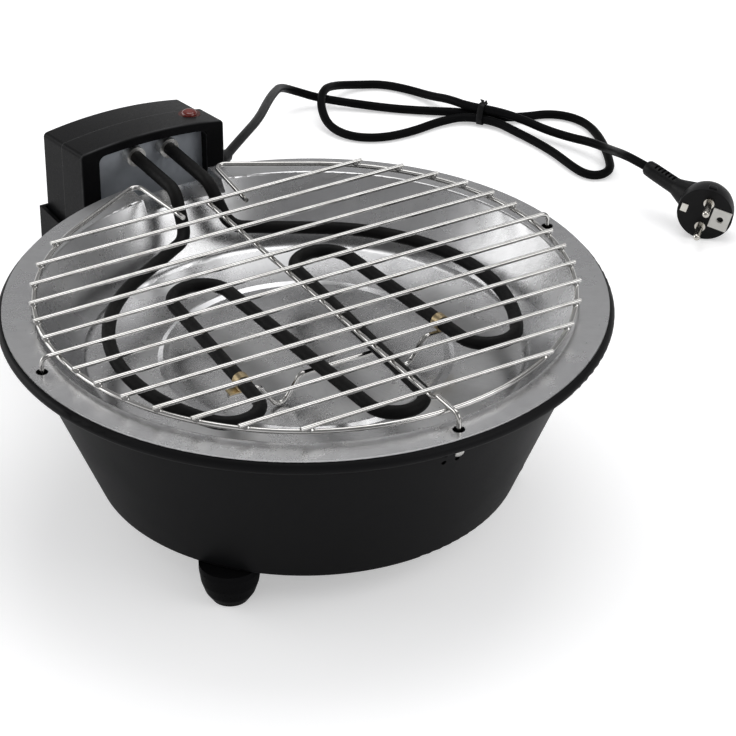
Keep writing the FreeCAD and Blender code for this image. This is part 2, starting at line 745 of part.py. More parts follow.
left_run, left_touch = ring_end(-1)
right_run, right_touch = ring_end(1)
ring_arc = Part.Arc(left_touch, Vector(0, -ring_r, ring_z), right_touch).toShape()
form("rack_ring", pipe(left_run + [ring_arc] + right_run, size("ring_wire")))
hook_reach = size("leg_circle")
hook_bend = size("hook_bend")
form("hook_bar", tube(bend_edges([
    (-hook_reach, 0, leg_end), (-hook_reach, 0, bar_z), (hook_reach, 0, bar_z), (hook_reach, 0, leg_end),
], [hook_bend, hook_bend]), size("bar_wire")))
over_ring = ring_z + 2 * size("ring_wire") + size("weld_gap")
first_bar = BARS_BEHIND_HOOK * size("bar_pitch")
last_bar = -BARS_BEFORE_HOOK * size("bar_pitch")
climb = (ring_r + last_bar) / 2
form("rack_brace", tube(bend_edges([
    (0, first_bar + size("hook_bend"), ring_z), (0, last_bar - climb / 3, ring_z),
    (0, last_bar - climb, over_ring), (0, -hook_reach, over_ring), (0, -hook_reach, leg_end),
], [hook_bend, hook_bend, hook_bend]), size("ring_wire")))
steps = [step for step in range(BARS_BEHIND_HOOK, -BARS_BEFORE_HOOK - 1, -1) if step]
for number, step in enumerate(steps, start=1):
    half = f"sqrt((ring_radius + bar_overhang)^2 - ({step} * bar_pitch)^2)"
    bar = solid("Cylinder", {"Radius": "bar_wire", "Height": f"2 * {half}"}, f"-{half}",
                f"{step} * bar_pitch", "flange_height + ring_rise + ring_wire + bar_wire + weld_gap", ALONG_X)
    keep(bar, f"rack_bar_{number:02d}")

# Heating element: a serpentine of tangent arcs and straight legs, mirrored about the middle
tube_z = size("flange_height - tube_drop")
coil = Vector(0, -size("coil_centre"), tube_z)
coil_r = size("coil_radius")
turn_r = size("turn_radius")
front = Vector(0, -size("front_turn_reach"), tube_z)
front_r = size("front_turn")
back = Vector(size("back_turn_half"), size("back_turn_reach"), tube_z)
side_drop = size("side_turn_reach - coil_centre")
side = Vector(math.sqrt((coil_r - turn_r) ** 2 - side_drop ** 2), -size("side_turn_reach"), tube_z)


def crossing(centre, radius, far_centre, far_radius):
    gap = far_centre - centre
    heading = math.atan2(gap.y, gap.x)
    spread = math.acos((radius + far_radius) / gap.Length)
    choices = [polar(1, math.degrees(heading + spread)), polar(1, math.degrees(heading - spread))]
    normal = max(choices, key=lambda direction: direction.x)
    return centre + normal * radius, far_centre - normal * far_radius


def half_element():
    inner_start, inner_end = crossing(front, front_r, back, turn_r)
    outer_start, outer_end = crossing(back, turn_r, side, turn_r)
    outward = (side - coil).normalize()
    join = coil + outward * coil_r
    foot = Vector(size("leg_foot_half"), size("leg_foot"), tube_z)
    away = foot - coil
    spread = math.acos(coil_r / away.Length)
    bearing = math.atan2(away.y, away.x) - spread
    landing = coil + polar(coil_r, math.degrees(bearing))
    edges = [
        Part.Arc(front + Vector(0, -front_r, 0),
                 front + polar(front_r, -45), inner_start).toShape(),
        Part.LineSegment(inner_start, inner_end).toShape(),
        Part.Arc(inner_end, back + Vector(0, turn_r, 0), outer_start).toShape(),
        Part.LineSegment(outer_start, outer_end).toShape(),
        Part.Arc(outer_end, side + Vector(0, -turn_r, 0), join).toShape(),
        Part.Arc(join, coil + Vector(coil_r, 0, 0), landing).toShape(),
    ]
    knee = Vector(size("leg_half"), size("leg_knee"), size("flange_height + leg_rise"))
    tail = Vector(knee.x, size(f"{PLATE} + plate_sheet + tube_tail"), knee.z)
    bend = size("leg_bend")
    return edges + bend_edges([landing, foot, knee, tail], [bend, bend])


right_half = half_element()
left_half = [edge.mirror(Vector(), Vector(1, 0, 0)) for edge in right_half]
form("heating_element", pipe(right_half + left_half, size("tube_radius")))

# Wire under the element, on two rounded feet, and its clips round the outer legs
clip_top, clip_foot = crossing(back, turn_r, side, turn_r)
clip_way = (clip_foot - clip_top).normalize()
clip_spot = clip_top + clip_way * ((-size("support_reach") - clip_top.y) / clip_way.y)
support_z = tube_z - size("tube_radius + slip_gap + clip_sheet + weld_gap + support_wire")
dip_z = size(f"{PAN_FLOOR} + seat_gap + support_wire")
dip_half = size("support_dip_half")
dip_width = size("support_dip_width")
dip_shoulder = size("support_shoulder")
support_bend = size("support_bend")
support_end = clip_spot.x + size("support_tip")
right_side = [
    (dip_half - dip_shoulder, support_z), (dip_half - dip_width / 2, dip_z),
    (dip_half + dip_width / 2, dip_z), (dip_half + dip_shoulder, support_z), (support_end, support_z),
]
support_line = [(-x, z) for x, z in reversed(right_side)] + right_side
support_points = [(x, -size("support_reach"), z) for x, z in support_line]
dip_bend = dip_width / 2 / math.tan(math.atan2(support_z - dip_z, dip_shoulder - dip_width / 2) / 2)
bends = [support_bend, dip_bend, dip_bend, support_bend]
form("element_support", tube(bend_edges(support_points, bends + bends), size("support_wire")))


def support_clip(mirror):
    inner = size("tube_radius + slip_gap")
    outer = inner + size("clip_sheet")
    width = size("clip_width")
    way = Vector(clip_way.x * mirror, clip_way.y, 0)
    start = Vector(clip_spot.x * mirror, clip_spot.y, tube_z) - way * (width / 2)
    band = Part.makeCylinder(outer, width, start, way)
    tongue = Part.makeBox(size("support_tip"), width, size("clip_sheet"))
    tongue.translate(Vector(0, -width / 2, -outer))
    tongue.rotate(Vector(), Vector(0, 0, 1), 0 if mirror > 0 else 180)
    tongue.translate(Vector(clip_spot.x * mirror, clip_spot.y, tube_z))
    return band.fuse(tongue).cut(Part.makeCylinder(inner, width * 2, start - way * (width / 2), way))


form("support_clips", Part.makeCompound([support_clip(-1), support_clip(1)]))

# Control box, front frame: crowned block with a window, hollow behind the plate
frame = new_body("front_frame")
under_box = "(box_bottom - 2 * overrun)"
slant(frame, "Pad", crowned(frame, "box_reach", "box_half", "box_bottom - overrun",
                            "box_shoulder", "box_crown"), "frame_depth")
block(frame, "SubtractiveBox", ("-box_half - overrun", "box_reach - overrun", under_box),
      ("box_half + overrun", f"{CREASE} + overrun", "box_bottom"))


def top_corner(depth):
    def chosen(edge):
        along = edge.BoundBox.YLength > size(f"{depth} - seat_gap")
        return along and edge.BoundBox.ZMin > size("window_bottom")
    return chosen


def front_rim(edge):
    return edge.BoundBox.YMax < size("box_reach + seat_gap")


def seam_rim(edge):
    return edge.BoundBox.YMin > size(f"{CREASE} - seat_gap")


fillet(frame, "box_round", top_corner("frame_depth"))
fillet(frame, "box_round / 2", front_rim)
fillet(frame, "seam_round", seam_rim)
inside = "(box_half - case_wall)"
floor = "(box_bottom + case_wall)"
slant(frame, "Pocket", crowned(frame, PLATE, inside, f"{floor} + {CREASE_FALL}",
                               f"box_shoulder - {PLATE_FALL} - case_wall", "box_crown"),
      "frame_depth - plate_recess + overrun")
block(frame, "SubtractiveBox", (f"-{inside}", PLATE, floor),
      (inside, f"{CREASE} + overrun", f"{floor} + {CREASE_FALL} + overrun"))
window = frame.newObject("PartDesign::Pocket", "front_frame_window")
window.Profile = crowned(frame, "box_reach", "window_half", "window_bottom",
                         "box_shoulder - window_drop", "box_crown / 2")
bind(window, {"Length": "plate_recess"})


def window_corner(edge):
    middle = edge.valueAt((edge.FirstParameter + edge.LastParameter) / 2)
    upright = abs(abs(middle.x) - size("window_half")) < size("seat_gap")
    along = edge.BoundBox.YLength > size("plate_recess - seat_gap")
    return upright and along and edge.BoundBox.YMax < size(f"{PLATE} + seat_gap")


fillet(frame, "window_round", window_corner)
rod(frame, "AdditiveCylinder", "lens_boss", "lens_boss_depth", "lens_half", "lens_reach",
    "lens_seat - lens_boss_depth")
rod(frame, "SubtractiveCylinder", "lens_radius + lens_ring_wall + slip_gap", "2 * overrun", "lens_half",
    "lens_reach", "lens_seat")
rod(frame, "SubtractiveCylinder", "lens_radius + slip_gap", "4 * overrun", "lens_half", "lens_reach",
    "lens_seat - 2 * overrun")
posts = [(side, level) for side in ("-1", "1") for level in ("post_low", "post_high")]
for side_sign, level in posts:
    rod(frame, "AdditiveCylinder", "post_radius", f"frame_depth - plate_recess - plate_sheet - plate_margin",
        f"{side_sign} * post_half", f"{PLATE} + plate_sheet + plate_margin", level, ALONG_Y)
for side_sign, level in posts:
    rod(frame, "SubtractiveCylinder", "case_screw_radius + slip_gap", "case_screw_grip + seat_gap + overrun",
        f"{side_sign} * post_half", f"{CREASE} - case_screw_grip - seat_gap", level, ALONG_Y)

# Rear shell: closed at the back, with screw posts, the gland's hole and the plunger's hole
shell = new_body("rear_shell")
shell_half = "(box_half - frame_step)"
shell_shoulder = f"(box_shoulder - {CREASE_FALL} - frame_step)"
slant(shell, "Pad", crowned(shell, CREASE, shell_half, "box_bottom - overrun", shell_shoulder, "box_crown"),
      "shell_depth")
block(shell, "SubtractiveBox", ("-box_half - overrun", f"{CREASE} - overrun", under_box),
      ("box_half + overrun", f"{REAR} + overrun", "box_bottom"))


def rear_rim(edge):
    return edge.BoundBox.YMin > size(f"{REAR} - seat_gap")


fillet(shell, "box_round", top_corner("shell_depth"))
fillet(shell, "box_round / 2", rear_rim)
shell_inside = f"({shell_half} - case_wall)"
slant(shell, "Pocket", crowned(shell, CREASE, shell_inside, f"{floor} + {CREASE_FALL}",
                               f"{shell_shoulder} - case_wall", "box_crown"), "shell_depth - case_wall")
block(shell, "SubtractiveBox", (f"-{shell_inside}", f"{CREASE} - overrun", floor),
      (shell_inside, f"{REAR} - case_wall", f"{floor} + {CREASE_FALL} + overrun"))
for side_sign, level in posts:
    rod(shell, "AdditiveCylinder", "post_radius", "shell_depth - case_wall / 2", f"{side_sign} * post_half",
        CREASE, level, ALONG_Y)
for side_sign, level in posts:
    rod(shell, "SubtractiveCylinder", "case_screw_radius + slip_gap", "shell_depth + 2 * overrun",
        f"{side_sign} * post_half", f"{CREASE} - overrun", level, ALONG_Y)
    rod(shell, "SubtractiveCylinder", "case_screw_head_radius + slip_gap", "case_screw_sink + overrun",
        f"{side_sign} * post_half", f"{REAR} - case_screw_sink", level, ALONG_Y)
rod(shell, "SubtractiveCylinder", "gland_root + slip_gap", "4 * overrun", f"{shell_half} - 2 * overrun",
    "gland_reach", "gland_height", ALONG_X)
plunger_reach = f"({REAR} - case_wall - switch_depth / 2)"
rod(shell, "SubtractiveCylinder", "plunger_radius + slip_gap", "case_wall + 2 * overrun", "switch_side",
    plunger_reach, "box_bottom - overrun")
screw_seat = size(f"{REAR} - case_screw_sink")
screw_length = size("shell_depth - case_screw_sink + case_screw_grip")
form("case_screws", Part.makeCompound([
    bolt(size("case_screw_radius"), screw_length, size("case_screw_head_radius"), size("case_screw_head_height"),
         Vector(size(f"{side_sign} * post_half"), screw_seat, size(level)), Vector(0, -1, 0))
    for side_sign, level in posts
]))

# Heat shield plate behind the window, and the collars of the element's legs
shield = new_body("heat_shield")
plate_half = f"({inside} - plate_margin)"
blank = shield.newObject("PartDesign::Pad", "heat_shield_blank")
blank.Profile = crowned(shield, f"{PLATE} + plate_sheet", plate_half, "box_bottom + case_wall + plate_margin",
                        f"box_shoulder - {PLATE_FALL} - case_wall - 2 * plate_margin", "box_crown")
bind(blank, {"Length": "plate_sheet"})
for side_sign in ("-1", "1"):
    rod(shield, "SubtractiveCylinder", "tube_radius + slip_gap", "plate_sheet + 2 * overrun",
        f"{side_sign} * leg_half", f"{PLATE} - overrun", "flange_height + leg_rise", ALONG_Y)
collars = []
for side_sign in ("-1", "1"):
    spot = f"{side_sign} * leg_half", f"{PLATE} - ferrule_length", "flange_height + leg_rise"
    rim = {"Radius": "tube_radius + ferrule_wall", "Height": "ferrule_length"}
    bore = {"Radius": "tube_radius + slip_gap", "Height": "ferrule_length"}
    collars.append(cut(solid("Cylinder", rim, *spot, ALONG_Y), [solid("Cylinder", bore, *spot, ALONG_Y)]))
keep(gather("Compound", collars), "element_ferrules")

# Signal light: lens with a domed top, its ring and the lamp below it
lens = new_body("signal_lens")
lens_low = "lens_seat - lens_boss_depth"
lens_high = f"({lens_low} + lens_boss_depth + lens_ring_height + lens_dome - slip_gap)"
rod(lens, "AdditiveCylinder", "lens_radius", f"{lens_high} - ({lens_low})",
    "lens_half", "lens_reach", lens_low)
fillet(lens, "lens_dome", is_ring("lens_radius", lens_high))
ring_sizes = {"Radius": "lens_radius + lens_ring_wall", "Height": "lens_ring_height"}
hole_sizes = {"Radius": "lens_radius + slip_gap", "Height": "lens_ring_height"}
lens_spot = "lens_half", "lens_reach", "lens_seat"
keep(cut(solid("Cylinder", ring_sizes, *lens_spot), [solid("Cylinder", hole_sizes, *lens_spot)]), "lens_ring")
keep(solid("Cylinder", {"Radius": "lamp_radius", "Height": "lamp_length"}, "lens_half", "lens_reach",
           "lens_seat - lens_boss_depth - lamp_length"), "neon_lamp")

# Inside the box: terminal block, thermal cut-out, switch, plunger, wires
back_wall = f"({REAR} - case_wall)"
block_front = f"({back_wall} - block_depth)"
terminals = [solid("Cylinder", {"Radius": "block_hole", "Height": "block_height + 2 * overrun"},
                   f"{column} * block_half / 2", f"{block_front} + block_depth / 2", "block_low - overrun")
             for column in (-1, 0, 1)]
keep(cut(brick(("-block_half", block_front, "block_low"),
               ("block_half", back_wall, "block_low + block_height")), terminals), "terminal_block")
keep(solid("Cylinder", {"Radius": "cutout_radius", "Height": "cutout_depth"}, "0", f"{PLATE} + plate_sheet",
           "cutout_height", ALONG_Y), "thermal_cutout")
plunger_top = "(box_bottom + plunger_length)"
switch_low = f"({plunger_top} + plunger_travel + seat_gap)"
keep(brick(("switch_side - switch_half", f"{back_wall} - switch_depth", switch_low),
           ("switch_side + switch_half", back_wall, f"{switch_low} + switch_height")), "micro_switch")
plunger = new_body("safety_plunger")
place(plunger, "switch_side", f"{AXIS} + {plunger_reach}")
collar_low = "box_bottom + case_wall + seat_gap"
revolve(plunger, outline(new_sketch(plunger, "XZ_Plane"), [
    ("0", "box_bottom"), ("plunger_radius", "box_bottom"), ("plunger_radius", collar_low),
    ("plunger_head_radius", collar_low), ("plunger_head_radius", f"{collar_low} + plunger_head_height"),
    ("plunger_radius", f"{collar_low} + plunger_head_height"), ("plunger_radius", plunger_top), ("0", plunger_top),
]))
wire_r = size("wire_radius")
tail_end = size(f"{shell_half} - case_wall - gland_tail_length")
lead_wires = [
    Part.makeCylinder(wire_r, tail_end - size("block_half"),
                      Vector(size("block_half"), size("gland_reach") + wire_r, size("gland_height") + offset),
                      Vector(1, 0, 0))
    for offset in (-wire_pitch_share * wire_r, 0, wire_pitch_share * wire_r)
]
tail_y = size(f"{PLATE} + plate_sheet + tube_tail")
block_top = size("block_low + block_height")
leg_x, leg_z = size("leg_half"), size("flange_height + leg_rise")
drop_y = size(f"{block_front} + block_depth / 4")
for sign in (-1, 1):
    lead_wires.append(tube(bend_edges([
        (sign * leg_x, tail_y, leg_z), (sign * leg_x, drop_y, leg_z), (sign * leg_x, drop_y, block_top),
    ], [(drop_y - tail_y) / 2]), wire_r))
form("lead_wires", Part.makeCompound(lead_wires))

# Gland with a tapered relief, its inner tail, and the clamp on the tail
gland = doc.addObject("PartDesign::Body", "gland_root")
place(gland, shell_half, f"{AXIS} + gland_reach", "gland_height", ALONG_X)
revolve(gland, outline(new_sketch(gland, "XZ_Plane"), [
    ("0", "-case_wall - gland_tail_length"), ("gland_tail", "-case_wall - gland_tail_length"),
    ("gland_tail", "-case_wall"), ("gland_root", "-case_wall"), ("gland_root", "0"), ("gland_collar", "0"),
    ("gland_collar", "gland_collar_depth / 2"), ("gland_root", "gland_collar_depth"),
    ("0", "gland_collar_depth"),
]))
mouth = Vector(size(shell_half), size(f"{AXIS} + gland_reach"), 0)


def from_mouth(points):
    return [mouth + Vector(*point) for point in points]


relief_start = mouth + Vector(size("gland_collar_depth / 2"), 0, size("gland_height"))
relief_runs = [relief_start] + from_mouth([RELIEF_BEND, LEAD_ROUTE[0]])
relief_edges = bend_edges(relief_runs, [size("relief_bend")])
relief_way = (relief_runs[2] - relief_runs[1]).normalize()
relief_sections = [
    Part.Wire(Part.Circle(relief_start, Vector(1, 0, 0), size("gland_root - seat_gap")).toShape()),
    Part.Wire(Part.Circle(relief_runs[2], relief_way, size("gland_tip")).toShape()),
]
relief = doc.addObject("Part::Feature", "gland_relief")
relief.Shape = Part.Wire(relief_edges).makePipeShell(relief_sections, True, False)
keep(gather("MultiFuse", [gland, relief]), "cord_gland")
clamp_high = "gland_height + clamp_height / 2"
clamp_side = f"({shell_half} - case_wall - gland_tail_length / 2)"
clamp_low = "gland_height - clamp_height / 2"
keep(cut(brick((f"{clamp_side} - clamp_width / 2", "gland_reach - clamp_front", clamp_low),
               (f"{clamp_side} + clamp_width / 2", back_wall, clamp_high)),
         [solid("Cylinder", {"Radius": "gland_tail + slip_gap", "Height": "4 * overrun"},
                f"{clamp_side} - 2 * overrun", "gland_reach", "gland_height", ALONG_X)]), "cord_clamp")


# Mains lead: the free stretch, the folded part, the tie
def cord(label, route):
    points = [Vector(*point) for point in route]
    runs = [(b - a).Length for a, b in zip(points, points[1:])]
    radii = []
    for i in range(1, len(points) - 1):
        turn = (points[i] - points[i - 1]).getAngle(points[i + 1] - points[i])
        radii.append(bend_share * min(runs[i - 1], runs[i]) / math.tan(turn / 2))
    edges = bend_edges(route, radii)
    shape = tube(edges, size("cord_radius"))
    length = sum(edge.Length for edge in edges)
    section = math.pi * size("cord_radius") ** 2
    print(label, "length", round(length), "radii", [round(radius) for radius in radii],
          "volume against section times length", round(shape.Volume / (section * length), 3))
    return shape, Part.Wire(edges)


def self_gap(path):
    count = int(path.Length)
    spots = path.discretize(Number=count)
    apart = int(size("10 * cord_radius"))
    near = min((spots[i] - spots[j]).Length for i in range(count) for j in range(i + apart, count))
    return near - 2 * size("cord_radius")


lead_shape, lead_path = cord("lead_cord", from_mouth(LEAD_ROUTE))
form("lead_cord", lead_shape, "0")

# Angled plug in its own frame: face at zero, pins along +Z, neck towards +X and leaning back
heading = polar(1, PLUG_HEADING)
level = polar(1, PLUG_HEADING - 90)
roll_angle = math.radians(PLUG_ROLL)
neckward = level * math.cos(roll_angle) + Vector(0, 0, math.sin(roll_angle))
plug_turn = Rotation(neckward, heading.cross(neckward), heading, "ZXY")
plug_spot = Placement(mouth + Vector(*PLUG_PLACE), plug_turn)
neck_angle = math.radians(PLUG_LEAN)
neck_way = Vector(math.cos(neck_angle), 0, -math.sin(neck_angle))
neck_root = Vector(0, 0, -size("plug_depth") / 2)
neck_tip = neck_root + neck_way * size("plug_neck_length")


def plug_form(label, shape):
    piece = keep(doc.addObject("Part::Feature", label), label)
    piece.Shape = shape
    piece.Placement = plug_spot
    return piece


plug_r, plug_back = size("plug_radius"), size("plug_back")
rim, depth = size("plug_rim"), size("plug_depth")
knob = spin([
    Part.LineSegment(Vector(0, 0, 0), Vector(plug_r, 0, 0)),
    Part.LineSegment(Vector(plug_r, 0, 0), Vector(plug_r, 0, -rim)),
    Part.Arc(Vector(plug_r, 0, -rim), Vector((plug_r * 2 + plug_back) / 3, 0, -(rim + depth * 2) / 3),
             Vector(plug_back, 0, -depth)),
    Part.LineSegment(Vector(plug_back, 0, -depth), Vector(0, 0, -depth)),
    Part.LineSegment(Vector(0, 0, -depth), Vector(0, 0, 0)),
])
neck_length = size("plug_neck_length")
neck = Part.makeCone(size("plug_neck_root"), size("plug_neck_tip"), neck_length, neck_root, neck_way)
rib_rings = []
for index in range(NECK_RIBS):
    along = neck_length * (rib_start_share + rib_pitch_share * index)
    taper = along / neck_length
    radius = size("plug_neck_root") * (1 - taper) + size("plug_neck_tip") * taper + size("plug_rib")
    base = neck_root + neck_way * along
    rib_rings.append(Part.makeCylinder(radius, neck_length * rib_width_share, base, neck_way))
core_start, core_end = size("core_start"), size("core_start + core_length")
core_half, core_sink = size("core_half"), size("core_sink")


def core_blank(extra, top):
    width = 2 * (core_half + extra)
    low = Vector(-core_end - extra, -core_half - extra, -core_sink)
    return Part.makeBox(core_end - core_start + 2 * extra, width, core_sink + top, low)


def clip_blank(extra, top):
    start, half = size("clip_start"), size("clip_half")
    low = Vector(start - extra, -half - extra, -core_sink)
    return Part.makeBox(size("clip_length") + 2 * extra, 2 * (half + extra), core_sink + top, low)


slip, past = size("slip_gap"), size("overrun")
pin_side = size("pin_pitch") / 2
pin_bases = [Vector(0, side_sign * pin_side, -core_sink) for side_sign in (-1, 1)]
collar_r, pin_r = size("pin_collar"), size("pin_radius")
pockets = [core_blank(slip, past), clip_blank(slip, past)]
pockets += [Part.makeCylinder(collar_r + slip, past, base) for base in pin_bases]
body_shape = knob.fuse([neck] + rib_rings).removeSplitter().cut(pockets)
plug_form("plug_body", body_shape)
earth = Vector(-(core_start + core_end) / 2, 0, -core_sink)
core_shape = core_blank(0, size("core_proud"))
core_shape = core_shape.cut([Part.makeCylinder(size("earth_hole"), past, earth)]
                            + [Part.makeCylinder(collar_r + slip, past, base) for base in pin_bases])
plug_form("plug_core", core_shape)
collar_top = core_sink + size("pin_collar_height")
plug_form("pin_collars", Part.makeCompound([
    Part.makeCylinder(collar_r, collar_top, base).cut(Part.makeCylinder(pin_r + slip, collar_top, base))
    for base in pin_bases
]))
plug_form("plug_pins", Part.makeCompound([
    Part.makeCylinder(pin_r, core_sink + size("pin_length") - pin_r, base).fuse(
        Part.makeSphere(pin_r, base + Vector(0, 0, core_sink + size("pin_length") - pin_r))).removeSplitter()
    for base in pin_bases
]))
plug_form("earth_clips", clip_blank(0, size("clip_proud")))

# The folded lead ends square on the neck's tip
neck_end = plug_spot.multVec(neck_tip)
hank_shape, hank_path = cord("cord_hank", from_mouth(HANK_ROUTE) + [neck_end])
print("least gap of the folded lead to itself", round(self_gap(hank_path), 2))
form("cord_hank", hank_shape, "0")
corners = from_mouth(TIE_CENTRES)
triangle = Part.makePolygon(corners + corners[:1])
tie_inner = size("cord_radius + seat_gap")
band = Part.Face(triangle.makeOffset2D(tie_inner + size("tie_sheet"))).cut(
    Part.Face(triangle.makeOffset2D(tie_inner)))
tie_way = (corners[0] - corners[1]).cross(Vector(0, 0, 1)).normalize()
tie = band.extrude(tie_way * size("tie_width"))
tie.translate(tie_way * (-size("tie_width") / 2))
form("cord_tie", tie, "0")

# Everything has to be whole before any file is written
doc.recompute()
for piece in doc.Objects:
    if {"Invalid", "Error"} & set(piece.State):
        raise RuntimeError(f"{piece.Label} failed: {piece.State}")
os.makedirs("parts", exist_ok=True)
for piece in nodes:
    if piece.Shape.isNull() or not piece.Shape.isValid():
        raise RuntimeError(f"{piece.Label} has no valid shape")
for piece in nodes:
    piece.Shape.exportStep(f"parts/{piece.Label}.step")
print(len(nodes), "nodes written")
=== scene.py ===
import math
import bpy
import bmesh
from mathutils import Matrix, Vector


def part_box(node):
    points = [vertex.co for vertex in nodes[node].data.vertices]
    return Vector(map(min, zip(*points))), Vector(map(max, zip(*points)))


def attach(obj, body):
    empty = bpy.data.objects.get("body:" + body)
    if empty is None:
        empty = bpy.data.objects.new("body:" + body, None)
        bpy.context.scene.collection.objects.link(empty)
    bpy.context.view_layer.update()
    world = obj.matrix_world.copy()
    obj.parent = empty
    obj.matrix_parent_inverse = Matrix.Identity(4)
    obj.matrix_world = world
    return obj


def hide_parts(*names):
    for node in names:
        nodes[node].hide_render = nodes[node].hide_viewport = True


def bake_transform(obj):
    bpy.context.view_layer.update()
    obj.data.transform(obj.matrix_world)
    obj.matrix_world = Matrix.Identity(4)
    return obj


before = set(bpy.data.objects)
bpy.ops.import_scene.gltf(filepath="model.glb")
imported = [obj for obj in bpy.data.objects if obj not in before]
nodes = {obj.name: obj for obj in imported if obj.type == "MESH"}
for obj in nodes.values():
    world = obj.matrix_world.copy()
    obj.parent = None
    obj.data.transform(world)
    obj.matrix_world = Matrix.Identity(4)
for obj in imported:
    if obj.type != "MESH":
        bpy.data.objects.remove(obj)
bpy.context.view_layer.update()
scene = bpy.context.scene
bowlAxis = Vector((0, -0.03895, 0))  # the bowl, pan and rack all turn about this line
squareOn = 0.9  # a face whose normal lies this near to an axis faces along it
mergeReach = 0.000005  # points nearer than this become one
print("frame loaded with", len(nodes), "nodes")

# camera at the photograph's angle
photoView = {
    "place": (-0.69926, -1.30136, 0.95485),
    "aim": (bowlAxis.x, bowlAxis.y, 0.133),
    "roll": -0.798,
    "sensor": 36,
    "lens": 141.55,
    "shift": (0.0853, -0.0980),
}
cameraData = bpy.data.cameras.new("photoCamera")
cameraData.sensor_width = photoView["sensor"]
cameraData.lens = photoView["lens"]
cameraData.shift_x, cameraData.shift_y = photoView["shift"]
camera = bpy.data.objects.new("photoCamera", cameraData)
scene.collection.objects.link(camera)
camera.location = photoView["place"]
camera.rotation_mode = "QUATERNION"
looking = (Vector(photoView["aim"]) - camera.location).to_track_quat("-Z", "Y")
rolled = Matrix.Rotation(math.radians(photoView["roll"]), 4, "Z").to_quaternion()
camera.rotation_quaternion = looking @ rolled
scene.camera = camera
print("camera set")


# helpers for modelling by hand
def startFresh():
    if bpy.context.object and bpy.context.object.mode != "OBJECT":
        bpy.ops.object.mode_set(mode="OBJECT")
    bpy.ops.object.select_all(action="DESELECT")


def pickAlone(piece):
    startFresh()
    piece.select_set(True)
    bpy.context.view_layer.objects.active = piece


def editAll():  # edit mode with the whole mesh selected
    bpy.ops.object.mode_set(mode="EDIT")
    bpy.ops.mesh.select_all(action="SELECT")


def endEdit():
    bpy.ops.object.mode_set(mode="OBJECT")


def started(name=None):  # the new primitive, with its place in its mesh
    piece = bpy.context.object
    bpy.ops.object.transform_apply(location=True, rotation=True, scale=True)
    if name:
        piece.name = name
        piece.data.name = name
    return piece


def roundStart(sides, radius, depth, middle=0.0, name=None):  # an upright cylinder about this height
    startFresh()
    bpy.ops.mesh.primitive_cylinder_add(vertices=sides, radius=radius, depth=depth, location=(0, 0, middle))
    return started(name)


def blockStart(size, edge, edgeSteps):  # a block about the origin, with rounded edges
    startFresh()
    bpy.ops.mesh.primitive_cube_add(size=1)
    block = started()
    editAll()
    bpy.ops.transform.resize(value=size)
    bpy.ops.mesh.bevel(offset=edge, segments=edgeSteps, affect="EDGES")
    endEdit()
    return block


def pickFaces(piece, test):  # selects the faces whose normal passes the test
    mesh = bmesh.from_edit_mesh(piece.data)
    for face in mesh.faces:
        face.select_set(False)
    for edge in mesh.edges:
        edge.select_set(False)
    mesh.select_flush(False)
    for face in mesh.faces:
        if test(face.normal):
            face.select_set(True)
    bmesh.update_edit_mesh(piece.data)


def pickVerts(piece, test):
    mesh = bmesh.from_edit_mesh(piece.data)
    for vert in mesh.verts:
        vert.select_set(bool(test(vert.co)))
    mesh.select_flush(True)
    bmesh.update_edit_mesh(piece.data)


def extrudeStep(along, widen):  # the picked faces move along z and are scaled about the upright axis
    bpy.ops.mesh.extrude_region_move(TRANSFORM_OT_translate={"value": (0, 0, along)})
    bpy.ops.transform.resize(value=(widen, widen, 1), center_override=(0, 0, 0))


def wrapTight():  # the active piece becomes the hull of its points
    editAll()
    bpy.ops.mesh.convex_hull()
    endEdit()


def applyModifier(piece, kind, **settings):
    modifier = piece.modifiers.new(kind.lower(), kind)
    for name, value in settings.items():
        setattr(modifier, name, value)
    pickAlone(piece)
    bpy.ops.object.modifier_apply(modifier=modifier.name)


def roundEdges(piece, width, steps, angle):
    applyModifier(piece, "BEVEL", width=width, segments=steps, limit_method="ANGLE",
                  angle_limit=math.radians(angle))


def cutOrAdd(piece, tool, operation):  # a boolean with a tool that is used up
    applyModifier(piece, "BOOLEAN", operation=operation, object=tool, solver="EXACT")
    bpy.data.objects.remove(tool)


def settle(piece, angle=35):  # place into the mesh, smooth shading
    pickAlone(piece)
    bpy.ops.object.transform_apply(location=True, rotation=True, scale=True)
    editAll()
    bpy.ops.mesh.remove_doubles(threshold=mergeReach)
    bpy.ops.mesh.normals_make_consistent(inside=False)
    endEdit()
    bpy.ops.object.shade_smooth_by_angle(angle=math.radians(angle))
    return piece


def copyOf(piece):
    copy = piece.copy()
    copy.data = piece.data.copy()
    scene.collection.objects.link(copy)
    return copy


def joinPieces(pieces, name):
    startFresh()
    for piece in pieces:
        piece.select_set(True)
    bpy.context.view_layer.objects.active = pieces[0]
    bpy.ops.object.join()
    joined = bpy.context.object
    joined.name = name
    joined.data.name = name
    return joined


def facingAlong(way):  # turns z to this way
    return way.to_track_quat("Z", "Y").to_matrix().to_4x4()


# helpers for finishes
def newFinish(name, **sockets):
    finish = bpy.data.materials.new(name)
    finish.use_nodes = True
    shader = finish.node_tree.nodes["Principled BSDF"]
    for socket, value in sockets.items():
        shader.inputs[socket].default_value = value
    return finish, finish.node_tree, shader


def objectPlace(tree, scale=(1, 1, 1), centre=(0, 0, 0)):
    coordinates = tree.nodes.new("ShaderNodeTexCoord")
    mapping = tree.nodes.new("ShaderNodeMapping")
    mapping.vector_type = "TEXTURE"
    mapping.inputs["Location"].default_value = centre
    mapping.inputs["Scale"].default_value = [1 / value for value in scale]
    tree.links.new(coordinates.outputs["Object"], mapping.inputs["Vector"])
    return mapping.outputs["Vector"]


